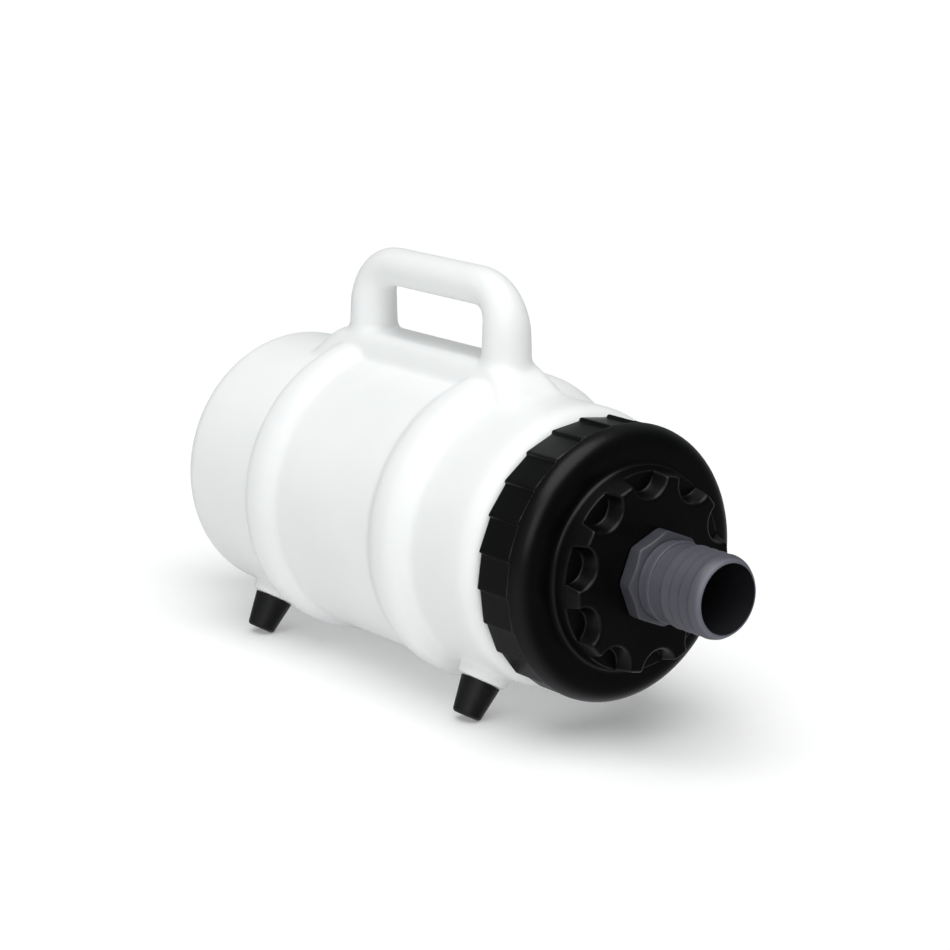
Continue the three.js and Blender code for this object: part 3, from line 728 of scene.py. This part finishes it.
def surface(distance, low, high):
    """Points and quads of a distance's zero surface, each point settled on it."""
    axes = [np.arange(a, b + VOXEL, VOXEL) for a, b in zip(low, high)]
    slabs = []
    for x in axes[0]:
        y, z = np.meshgrid(axes[1], axes[2], indexing="ij")
        slabs.append(distance(np.full(y.shape, x), y, z))
    grid = openvdb.FloatGrid()
    grid.background = BAND
    grid.copyFromArray(np.clip(np.array(slabs), -BAND, BAND).astype(np.float32))
    points, quads = grid.convertToQuads(isovalue=0)
    points = np.asarray(points, float) * VOXEL + [axis[0] for axis in axes]
    for _ in range(SETTLING_ROUNDS):
        here = distance(*points.T)
        slope = slope_of(distance, points)
        steep = np.maximum((slope ** 2).sum(1), LEAST_SLOPE ** 2)
        move = slope * (here / steep)[:, None]
        points = points - np.clip(move, -VOXEL / 2, VOXEL / 2)
    return points, quads


def make_canister():
    """The blown shell, in one piece with its hoops, saddle, handle, foot bosses and neck."""
    low = (INLET_SEAT_X, -HOOP_RADIUS, -HOOP_RADIUS)
    high = (NECK_END_X, HOOP_RADIUS, HANDLE_TOP)
    points, quads = surface(shell_distance, np.subtract(low, GRID_MARGIN), np.add(high, GRID_MARGIN))
    add_piece("canister_shell", points, quads, "canister", "white_hdpe", WHITE_HDPE, "canister")


make_canister()


# ---------------------------------------------------------------- threads


def thread_ridge(name, root, crest, start_x, body, slot, material):
    """A helical ridge that fades in and out at its ends."""
    rows = []
    for i in range(THREAD_STEPS + 1):
        turn = THREAD_TURNS * i / THREAD_STEPS
        from_end = min(turn, THREAD_TURNS - turn)
        fade = min(1, from_end / THREAD_FADE_TURNS + THREAD_END_SHARE)
        x = start_x + turn * THREAD_PITCH
        rows.append([circle(x + along, root + (crest - root) * height * fade, turn * 360)
                     for along, height in THREAD_PROFILE])
    points = np.array(rows).reshape(-1, 3)
    side = len(THREAD_PROFILE)
    faces = []
    for i in range(THREAD_STEPS):
        for j in range(side):
            here = i * side + j
            there = i * side + (j + 1) % side
            faces.append((here, there, there + side, here + side))
    last = THREAD_STEPS * side
    for a, b, c, d in THREAD_END_FACES:
        faces.append((d, c, b, a))
        faces.append((last + a, last + b, last + c, last + d))
    add_piece(name, points, faces, body, slot, material)


thread_ridge("neck_thread", NECK_RADIUS - THREAD_SINK, NECK_THREAD_CREST, NECK_THREAD_X,
             "canister", "white_hdpe", WHITE_HDPE)
thread_ridge("cap_thread", CAP_BORE + THREAD_SINK, CAP_THREAD_CREST, NECK_THREAD_X - THREAD_PITCH / 2,
             "cap", "black_plastic", BLACK_PLASTIC)


# ---------------------------------------------------------------- the cap


def grip_columns():
    """Angles and radii of the saw-tooth outline round the cap's grip. Its 15 points for each flat make as
    many as the hub's outline has."""
    pitch = 360 / FLATS
    low, high = FLAT_RADII
    angles = []
    radii = []
    for i in range(-1, FLATS - 1):
        start = FLAT_PHASE + i * pitch
        first = math.radians(start + FLAT_MARGINS[0])
        last = math.radians(start + pitch - FLAT_MARGINS[1])
        a = np.array([low * math.sin(first), low * math.cos(first)])
        b = np.array([high * math.sin(last), high * math.cos(last)])
        chord = a + FLAT_SHARES[:, None] * (b - a)
        angles += list(np.degrees(np.arctan2(chord[:, 0], chord[:, 1])))
        radii += list(np.hypot(chord[:, 0], chord[:, 1]) + FLAT_EASINGS)
        for offset, radius in TOOTH_STEP:
            angles.append(start + pitch + offset)
            radii.append(radius)
    return np.unwrap(angles, period=360), np.array(radii)


def hub_outline(bay, hub, corner):
    """The hub's outline with a round bay of this radius cut at each scallop, as (angles, radii). The bay's
    arc ends at an angle about its own centre, and meets the hub's edge at an angle about the axis."""
    d = SCALLOP_CENTRE
    end = math.acos((d * d + bay * bay - hub * hub) / (2 * d * bay))
    edge = math.atan2(bay * math.sin(end), d - bay * math.cos(end))
    pitch = 2 * math.pi / SCALLOPS
    bay_turn = np.linspace(-(end - corner / bay), end - corner / bay, BAY_STEPS)
    inside = [(d - bay * math.cos(t), bay * math.sin(t)) for t in bay_turn]
    lobe_turn = np.linspace(edge + corner / hub, pitch - edge - corner / hub, LOBE_STEPS)
    lobe = [(hub * math.cos(t), hub * math.sin(t)) for t in lobe_turn]

    def turned_on(point, angle):
        c = math.cos(angle)
        s = math.sin(angle)
        return (point[0] * c - point[1] * s, point[0] * s + point[1] * c)

    def bend(a, tip, b):
        shares = np.linspace(0, 1, CORNER_STEPS + 2)[1:-1]
        return [tuple((1 - t) ** 2 * p + 2 * t * (1 - t) * q + t * t * r for p, q, r in zip(a, tip, b))
                for t in shares]

    near_tip = (hub * math.cos(edge), hub * math.sin(edge))
    far_tip = (hub * math.cos(pitch - edge), hub * math.sin(pitch - edge))
    following = turned_on(inside[0], pitch)
    one = np.array(inside + bend(inside[-1], near_tip, lobe[0]) + lobe + bend(lobe[-1], far_tip, following))
    angles = np.degrees(np.arctan2(one[:, 1], one[:, 0]))
    radii = np.hypot(one[:, 0], one[:, 1])
    starts = SCALLOP_PHASE + np.arange(SCALLOPS) * 360 / SCALLOPS
    return (starts[:, None] + angles[None, :]).ravel(), np.tile(radii, SCALLOPS)


def wall_columns(floor_angles):
    """The outline's angles for the whole wall under the scallops: each bay's share of them, with its two
    corners, is spread evenly."""
    angles = floor_angles.reshape(SCALLOPS, -1).copy()
    bay_end = BAY_STEPS + CORNER_STEPS
    first = angles[:, -CORNER_STEPS] - 360 / SCALLOPS
    last = angles[:, bay_end - 1]
    for i in range(SCALLOPS):
        even = np.linspace(first[i], last[i], CORNER_STEPS + bay_end)
        angles[i, :bay_end] = even[CORNER_STEPS:]
        angles[i - 1, -CORNER_STEPS:] = even[:CORNER_STEPS] + (360 if i == 0 else 0)
    return angles.ravel()


def shoulder_radius(x):
    """The round shoulder in front of the grip, drawn as a superellipse's quarter."""
    along = min(max((x - GRIP_END_X) / (FACE_X - GRIP_END_X), 0), 1)
    return FACE_RADIUS + (CAP_RADIUS - FACE_RADIUS) * (1 - along ** SHOULDER_BULGE) ** (1 / SHOULDER_BULGE)


def bay_at(x):
    """The radius of the scallops' bays, which widen toward the hub's front."""
    share = (x - SCALLOP_FLOOR_X) / (HUB_FRONT_X - SCALLOP_FLOOR_X)
    return SCALLOP_RADII[0] + share * (SCALLOP_RADII[1] - SCALLOP_RADII[0])


def hub_at(x):
    """The hub's radius, which narrows toward its front."""
    share = (x - FACE_X) / (HUB_FRONT_X - FACE_X)
    return HUB_BASE_RADIUS + share * (HUB_FRONT_RADIUS - HUB_BASE_RADIUS)


def grip_rows(angles, radii):
    """The saw-tooth grip from the cap's back edge to where it has run out into the round shoulder."""
    rows = [circle(CAP_BACK_X + along, radii - inset, angles) for along, inset in CAP_BACK_EDGE]
    rows += [circle(x, radii, angles) for x in (GRIP_MIDDLE_X, GRIP_END_X - GRIP_FADE_START)]
    for along, share in GRIP_FADE:
        x = GRIP_END_X + along
        rows.append(circle(x, radii + share * (shoulder_radius(x) - radii), angles))
    return rows


def face_rows(grip_angles, wall_angles):
    """The shoulder, the flat ring in front of it, and the fillet up to the hub's whole wall."""
    rows = []
    for share in SHOULDER_SHARES:
        x = GRIP_END_X + (FACE_X - GRIP_END_X) * math.sin(share * math.pi / 2)
        rows.append(circle(x, shoulder_radius(x), grip_angles))
    middle_radius = (FACE_RADIUS + FACE_INNER_RADIUS) / 2
    rows.append(circle(FACE_X, middle_radius, (grip_angles + wall_angles) / 2))
    rows.append(circle(FACE_X, FACE_INNER_RADIUS, wall_angles))
    fillet_end = FACE_X + FACE_FILLET
    for turn in np.linspace(0, math.pi / 2, FACE_FILLET_ROWS):
        x = fillet_end - FACE_FILLET * math.cos(turn)
        rows.append(circle(x, hub_at(fillet_end) + FACE_FILLET * (1 - math.sin(turn)), wall_angles))
    for below in SCALLOP_APPROACH:
        x = SCALLOP_FLOOR_X - below
        rows.append(circle(x, hub_at(x), wall_angles))
    return rows


def scallop_floor_rows(wall_angles, floor_angles, floor_radii):
    """The floors of the scallops, from the hub's outer wall to the walls of the bays. Between two scallops
    there is no floor to cross, and the same rows lie close above each other on the wall."""
    outer = hub_at(SCALLOP_FLOOR_X)
    floor = np.clip(outer - floor_radii, 0, None)
    closed = 1 - np.clip(floor / SCALLOP_OPENING, 0, 1)

    def level(open_lift, closed_lift):
        return SCALLOP_FLOOR_X + open_lift + (closed_lift - open_lift) * closed

    rows = []
    for open_lift, closed_lift, away, most in SCALLOP_OUTER_ROWS:
        radii = outer - np.minimum(away, floor * most)
        rows.append(circle(level(open_lift, closed_lift), radii, wall_angles))
    middle_angles = (wall_angles + floor_angles) / 2
    rows.append(circle(level(0, SCALLOP_MIDDLE_LIFT), floor_radii + floor / 2, middle_angles))
    for open_lift, closed_lift, away, most in SCALLOP_INNER_ROWS:
        radii = floor_radii + np.minimum(away, floor * most)
        rows.append(circle(level(open_lift, closed_lift), radii, floor_angles))
    return rows


def hub_rows(wall_angles):
    """The scalloped wall above the floors, the rounded edge round the hub's front, and its flat plateau."""
    wall = [(x, 0) for x in HUB_WALL_XS]
    edge = [(HUB_FRONT_X + along, inset) for along, inset in HUB_FRONT_EDGE]
    rows = []
    for x, inset in wall + edge:
        corner = HUB_CORNER - inset * HUB_CORNER_LOSS
        angles, radii = hub_outline(bay_at(x) + inset, hub_at(x) - inset, corner)
        rows.append(circle(x, radii, angles))
    rows.append(circle(HUB_FRONT_X, PLATEAU_RADII[0], angles))
    rows.append(circle(HUB_FRONT_X, PLATEAU_RADII[1], wall_angles))
    return rows


def cap_inside_rows(grip_angles, wall_angles):
    """The hole for the hose tail's stem, the stepped hollow of the hub, and the bore for the neck."""
    hole = STEM_RADIUS + GAP
    ledge = SCALLOP_FLOOR_X - CAP_WALL
    under_face = FACE_X - CAP_WALL
    front_wall = HUB_FRONT_X - CAP_WALL
    hub = ((HUB_FRONT_X, hole), (front_wall, hole), (front_wall, HUB_BORE), (ledge, HUB_BORE),
           (ledge, HUB_CAVITY), (under_face, HUB_CAVITY))
    bore = ((under_face, CAP_BORE), (CAP_BACK_X + CAP_BORE_CHAMFER, CAP_BORE),
            (CAP_BACK_X, CAP_BORE + CAP_BORE_CHAMFER))
    rows = [circle(x, radius, wall_angles) for x, radius in hub]
    rows += [circle(x, radius, grip_angles) for x, radius in bore]
    return rows


def make_cap():
    """The cap as one closed tube of rows: over the outside from back to front, then back through the
    inside. Its columns follow the saw-tooth on the grip and the scallops on the hub."""
    grip_angles, grip_radii = grip_columns()
    floor_angles, floor_radii = hub_outline(bay_at(SCALLOP_FLOOR_X), hub_at(SCALLOP_FLOOR_X), HUB_CORNER)
    wall_angles = wall_columns(floor_angles)
    rows = grip_rows(grip_angles, grip_radii)
    rows += face_rows(grip_angles, wall_angles)
    rows += scallop_floor_rows(wall_angles, floor_angles, floor_radii)
    rows += hub_rows(wall_angles)
    rows += cap_inside_rows(grip_angles, wall_angles)
    points, faces = skin(rows)
    weigh_normals(add_piece("cap_body", points, faces, "cap", "black_plastic", BLACK_PLASTIC, "screw_cap"))


make_cap()


# ---------------------------------------------------------------- the hose tails


def flange_profile(angles):
    """The stem and the octagonal flange with its chamfered front."""
    half_side = 180 / FLANGE_SIDES
    from_flat = angles % (2 * half_side) - half_side
    apothem = FLANGE_RADIUS * math.cos(math.radians(half_side))
    octagon = np.minimum(apothem / np.cos(np.radians(from_flat)), FLANGE_RADIUS - FLANGE_CORNER)
    slope = math.tan(math.radians(FLANGE_CHAMFER_ANGLE))

    def chamfer(radius):
        return FLANGE_LENGTH - np.maximum(radius - FLANGE_CHAMFER_RADIUS, 0) * slope

    profile = [(-STEM_LENGTH, STEM_RADIUS - STEM_CHAMFER), (-STEM_LENGTH + STEM_CHAMFER, STEM_RADIUS)]
    profile += edge_rows(0, STEM_RADIUS, STEM_ROOT_EDGE)
    profile += edge_rows(0, octagon, FLANGE_BACK_EDGE)
    profile += edge_rows(chamfer(octagon), octagon, FLANGE_FRONT_EDGE)
    profile += [(chamfer(octagon - inset), octagon - inset) for inset in FLANGE_CHAMFER_INSETS]
    profile += edge_rows(FLANGE_LENGTH, FLANGE_CHAMFER_RADIUS, FLANGE_FACE_EDGE)
    profile += edge_rows(FLANGE_LENGTH, TAIL_NECK_RADIUS, TAIL_NECK_FILLET)
    return profile


def lip_profile():
    """The raised lip round the neck: its rise, and the same steps mirrored for its fall."""
    start, end = LIP
    rise = [(along, TAIL_NECK_RADIUS + share * (LIP_RADIUS - TAIL_NECK_RADIUS)) for along, share in LIP_RISE]
    profile = [(start + along, radius) for along, radius in rise]
    profile += [(end - along, radius) for along, radius in reversed(rise)]
    return profile


def ridge_profile():
    """The hose ridges, each with a sharp rise and a long, low fall, and the rounded tip."""
    profile = edge_rows(RIDGE_START, TAIL_NECK_RADIUS, FIRST_RIDGE_FOOT)
    for i in range(RIDGES):
        crest = RIDGE_START + i * RIDGE_STEP
        if i:
            profile.append((crest + RIDGE_ROOT_OFFSET, RIDGE_ROOT))
        profile += edge_rows(crest, RIDGE_RADIUS, RIDGE_ROWS)
    tip_start = RIDGE_START + (RIDGES - 1) * RIDGE_STEP + TIP_OFFSET
    tip_radius = RIDGE_RADIUS - TIP_INSET
    for share in TIP_SHARES:
        x = tip_start + share * (TAIL_LENGTH - tip_start)
        profile.append((x, tip_radius - (tip_radius - MOUTH_RADIUS) * share ** TIP_POWER))
    return profile


def mouth_profile():
    """The flat rim of the mouth, and the bore back to the stem's end."""
    profile = edge_rows(TAIL_LENGTH, MOUTH_RADIUS, MOUTH_OUTER_EDGE)
    profile += edge_rows(TAIL_LENGTH, TAIL_BORE + GAP, MOUTH_INNER_EDGE)
    profile.append((-STEM_LENGTH, TAIL_BORE))
    return profile


def tail_painted_light(along, radius):
    """Painted light on each point of a tail: painted shade, darkest in the bore and lighter on the stem and
    flange, and a painted highlight that lightens the rim round the mouth."""
    bore = radius < TAIL_BORE + GAP + PAINTED_SHADE_MARGIN
    flange = (along < FLANGE_LENGTH + PAINTED_SHADE_MARGIN) & (radius > TAIL_NECK_RADIUS)
    rim = (along > TAIL_LENGTH - RIM_PAINTED_HIGHLIGHT_LENGTH) & ~bore
    # Painted shade, darkest in the bore.
    painted_light = np.where(bore, BORE_PAINTED_SHADE, 0)
    # Painted shade on the stem and flange.
    painted_light = np.where(flange, FLANGE_PAINTED_SHADE, painted_light)
    # A painted highlight lightens the mouth's rim.
    return np.where(rim, -RIM_PAINTED_HIGHLIGHT, painted_light)


def make_tail(name, seat_x, side, body, node):
    """A hose tail on its seat; side is 1 where it points toward +X and -1 where it points toward -X."""
    angles = np.arange(0, 360, 360 / TAIL_COLUMNS)
    profile = flange_profile(angles) + lip_profile() + ridge_profile() + mouth_profile()
    rows = np.array([circle(x, radius, angles) for x, radius in profile])
    rows[..., :2] *= side
    rows[..., 0] += seat_x + side * GAP
    points, faces = skin(rows)
    tail = add_piece(name, points, faces, body, "grey_plastic", GREY_PLASTIC, node)
    along = side * (points[:, 0] - seat_x) - GAP
    # Painted shade and a painted highlight, kept on the points for the finish to read.
    painted_light = tail_painted_light(along, np.hypot(points[:, 1], points[:, 2]))
    tail.data.attributes.new("painted_light", "FLOAT", "POINT").data.foreach_set("value", painted_light)
    weigh_normals(tail)


make_tail("outlet_tail", HUB_FRONT_X, 1, "cap", "outlet_hose_tail")
make_tail("inlet_tail", INLET_SEAT_X, -1, "canister", "inlet_hose_tail")


# ---------------------------------------------------------------- the feet


def foot_profile():
    """Half of a foot's section, as (distance from the canister's axis, radius): its seat, its tapering
    side, its rounded lower edge and the recess of its screw."""
    top, bottom = FOOT_RADII
    taper = (top - bottom) / (FOOT_END - FOOT_TOP)

    def side_at(height):
        return top - (height - FOOT_TOP) * taper

    low = FOOT_END - FOOT_EDGE
    recess_floor = FOOT_END - FOOT_RECESS_DEPTH
    under_seat, upper_side = FOOT_SIDE_STARTS
    profile = [(FOOT_TOP, SCREW_CLEARANCE)]
    profile += edge_rows(FOOT_TOP, top, FOOT_SEAT_EDGE)
    profile.append((FOOT_TOP + under_seat, side_at(FOOT_TOP + under_seat)))
    side_heights = np.linspace(FOOT_TOP + upper_side, low - FOOT_SIDE_MARGIN, FOOT_SIDE_ROWS)
    profile += [(h, side_at(h)) for h in side_heights]
    profile += [(low + FOOT_EDGE * math.sin(t), side_at(low) - FOOT_EDGE * (1 - math.cos(t)))
                for t in np.linspace(FOOT_EDGE_START, math.pi / 2, FOOT_EDGE_ROWS)]
    profile += edge_rows(FOOT_END, FOOT_RECESS_RADIUS, FOOT_RECESS_EDGE)
    profile += [(recess_floor, FOOT_RECESS_RADIUS), (recess_floor, SCREW_CLEARANCE)]
    return profile


def make_foot(name, x, side, node):
    """A splayed rubber foot, trimmed level with the ground; side is 1 on the left and -1 on the right."""
    splay = math.radians(FOOT_SPLAY)
    down = np.array([0, side * math.sin(splay), -math.cos(splay)])
    across = np.array([0, math.cos(splay), side * math.sin(splay)])
    turn = np.radians(np.arange(0, 360, 360 / FOOT_COLUMNS))
    ring = np.cos(turn)[:, None] * (1, 0, 0) + np.sin(turn)[:, None] * across
    points, faces = skin([(x, 0, 0) + h * down + r * ring for h, r in foot_profile()])
    points[:, 2] = np.maximum(points[:, 2], -AXIS_HEIGHT)
    weigh_normals(add_piece(name, points, faces, "canister", "black_rubber", BLACK_RUBBER, node))


for foot_x, place in zip(FOOT_XS, ("back", "front")):
    for side, side_name in ((-1, "right"), (1, "left")):
        where = f"{place}_{side_name}"
        make_foot(f"rubber_foot_{where}", foot_x, side, f"foot_{where}")


# ---------------------------------------------------------------- finishes of the CAD nodes that still show

FINISHES = {
    "seal_rubber": SEAL_RUBBER,
    "end_cap_rubber": END_CAP_RUBBER,
    "stainless_steel": STAINLESS,
    "filter_felt": FELT,
    "white_nylon": WHITE_NYLON,
    "grey_plastic": GREY_PLASTIC,
    "black_rubber": BLACK_RUBBER,
    "black_plastic": BLACK_PLASTIC,
    "white_hdpe": WHITE_HDPE,
}
for part in frame["record"]["subparts"]:
    shown = frame["nodes"][part["node"]]
    if shown.hide_render:
        continue
    shown.data.materials.clear()
    shown.data.materials.append(FINISHES[part["material_slot"]])
    shown.data.shade_smooth()
    shown.data.set_sharp_from_angle(angle=math.radians(CAD_SHARP_ANGLE))


# ---------------------------------------------------------------- stage, light and camera


def add_to_scene(name, data):
    """A new object in the scene, for a camera, a lamp or a mesh."""
    made = bpy.data.objects.new(name, data)
    bpy.context.scene.collection.objects.link(made)
    return made


def look_at(thing, position, target, roll=0.0):
    """Places a camera or lamp and points it at a target; roll turns it about its line of sight."""
    thing.location = position
    thing.rotation_mode = "QUATERNION"
    aim = (Vector(target) - Vector(position)).to_track_quat("-Z", "Y")
    thing.rotation_quaternion = aim @ Quaternion((0, 0, 1), math.radians(roll))


def add_camera():
    """The camera, a little above the object on the cap's near side, with a long lens."""
    data = bpy.data.cameras.new("camera")
    data.lens = CAMERA_LENS
    data.sensor_width = CAMERA_SENSOR
    data.clip_end = CAMERA_FAR
    camera = add_to_scene("camera", data)
    look_at(camera, CAMERA_PLACE, CAMERA_TARGET, CAMERA_ROLL)
    bpy.context.scene.camera = camera


def floor_paper():
    """Matt white paper that glows a little, so that it stays white where no lamp reaches it."""
    material = bpy.data.materials.new("floor_paper")
    add = node_tree(material)
    place = add("ShaderNodeTexCoord").outputs["Object"]
    grain = add("ShaderNodeTexNoise", {"Vector": place, "Scale": 900.0, "Detail": 2.0})
    bump = add("ShaderNodeBump", {
        "Height": grain.outputs["Fac"],
        "Strength": 0.05,
        "Distance": GRAIN_HEIGHT,
    })
    body = add("ShaderNodeBsdfPrincipled", {
        "Base Color": (FLOOR_TONE, FLOOR_TONE, FLOOR_TONE, 1),
        "Roughness": 0.9,
        "Specular IOR Level": 0.0,
        "Emission Color": (1, 1, 1, 1),
        "Emission Strength": FLOOR_GLOW,
        "Normal": bump.outputs["Normal"],
    })
    add("ShaderNodeOutputMaterial", {"Surface": body.outputs["BSDF"]})
    return material


def add_floor():
    """The paper under the object. Glossy surfaces don't mirror it."""
    mesh = bpy.data.meshes.new("floor")
    corners = [(x * FLOOR_HALF, y * FLOOR_HALF, 0) for x, y in ((-1, -1), (1, -1), (1, 1), (-1, 1))]
    mesh.from_pydata(corners, [], [(0, 1, 2, 3)])
    mesh.materials.append(floor_paper())
    floor = add_to_scene("floor", mesh)
    floor.visible_glossy = False
    return floor


def add_side_lamp(floor):
    """A soft lamp on the cap's near side. Its light is kept off the floor, so that the shadow under the
    object stays soft and deep."""
    data = bpy.data.lights.new("side", "AREA")
    data.shape = "RECTANGLE"
    data.size = SIDE_LAMP_SIZE
    data.size_y = SIDE_LAMP_SIZE
    data.energy = SIDE_LAMP_POWER
    lamp = add_to_scene("side", data)
    lamp.visible_camera = False
    look_at(lamp, SIDE_LAMP_PLACE, SIDE_LAMP_TARGET)
    group = bpy.data.collections.new("not_lit_by_side")
    group.objects.link(floor)
    lamp.light_linking.receiver_collection = group
    group.collection_objects[0].light_linking.link_state = "EXCLUDE"


def add_sun():
    """A very soft light from overhead that falls evenly on the whole floor."""
    data = bpy.data.lights.new("overhead", "SUN")
    data.energy = SUN_STRENGTH
    data.angle = math.radians(SUN_SPREAD)
    look_at(add_to_scene("overhead", data), SUN_FROM, (0, 0, 0))


def add_world():
    """Even studio walls over a paler ground, dim on the cap's far side and, less so, on the dome's side."""
    world = bpy.data.worlds.new("studio")
    add = node_tree(world)
    direction = add("ShaderNodeTexCoord").outputs["Generated"]
    height = add("ShaderNodeSeparateXYZ", {"Vector": direction})
    above = add("ShaderNodeMapRange", {
        "Value": height.outputs["Z"],
        "From Min": GROUND_ENDS[0],
        "From Max": GROUND_ENDS[1],
    }, interpolation_type="SMOOTHSTEP")
    colour = add("ShaderNodeMix", {"Factor": above.outputs["Result"]}, data_type="RGBA")
    colour.inputs["A"].default_value = (*GROUND_LIGHT, 1)
    colour.inputs["B"].default_value = (*WALL_LIGHT, 1)
    kept = 1.0
    for side, share in DIM_SIDES:
        facing = add("ShaderNodeVectorMath", {0: direction, 1: side}, operation="DOT_PRODUCT")
        dim = add("ShaderNodeMapRange", {
            "Value": facing.outputs["Value"],
            "From Min": DIM_ENDS[0],
            "From Max": DIM_ENDS[1],
            "To Min": 1.0,
            "To Max": share,
        }, interpolation_type="SMOOTHSTEP")
        product = add("ShaderNodeMath", {0: kept, 1: dim.outputs["Result"]}, operation="MULTIPLY")
        kept = product.outputs["Value"]
    sky = add("ShaderNodeBackground", {"Color": colour.outputs["Result"], "Strength": kept})
    add("ShaderNodeOutputWorld", {"Surface": sky.outputs["Background"]})
    bpy.context.scene.world = world


add_camera()
stage_floor = add_floor()
add_world()
add_sun()
add_side_lamp(stage_floor)

scene = bpy.context.scene
scene.view_settings.view_transform = "Standard"
scene.view_settings.look = "None"
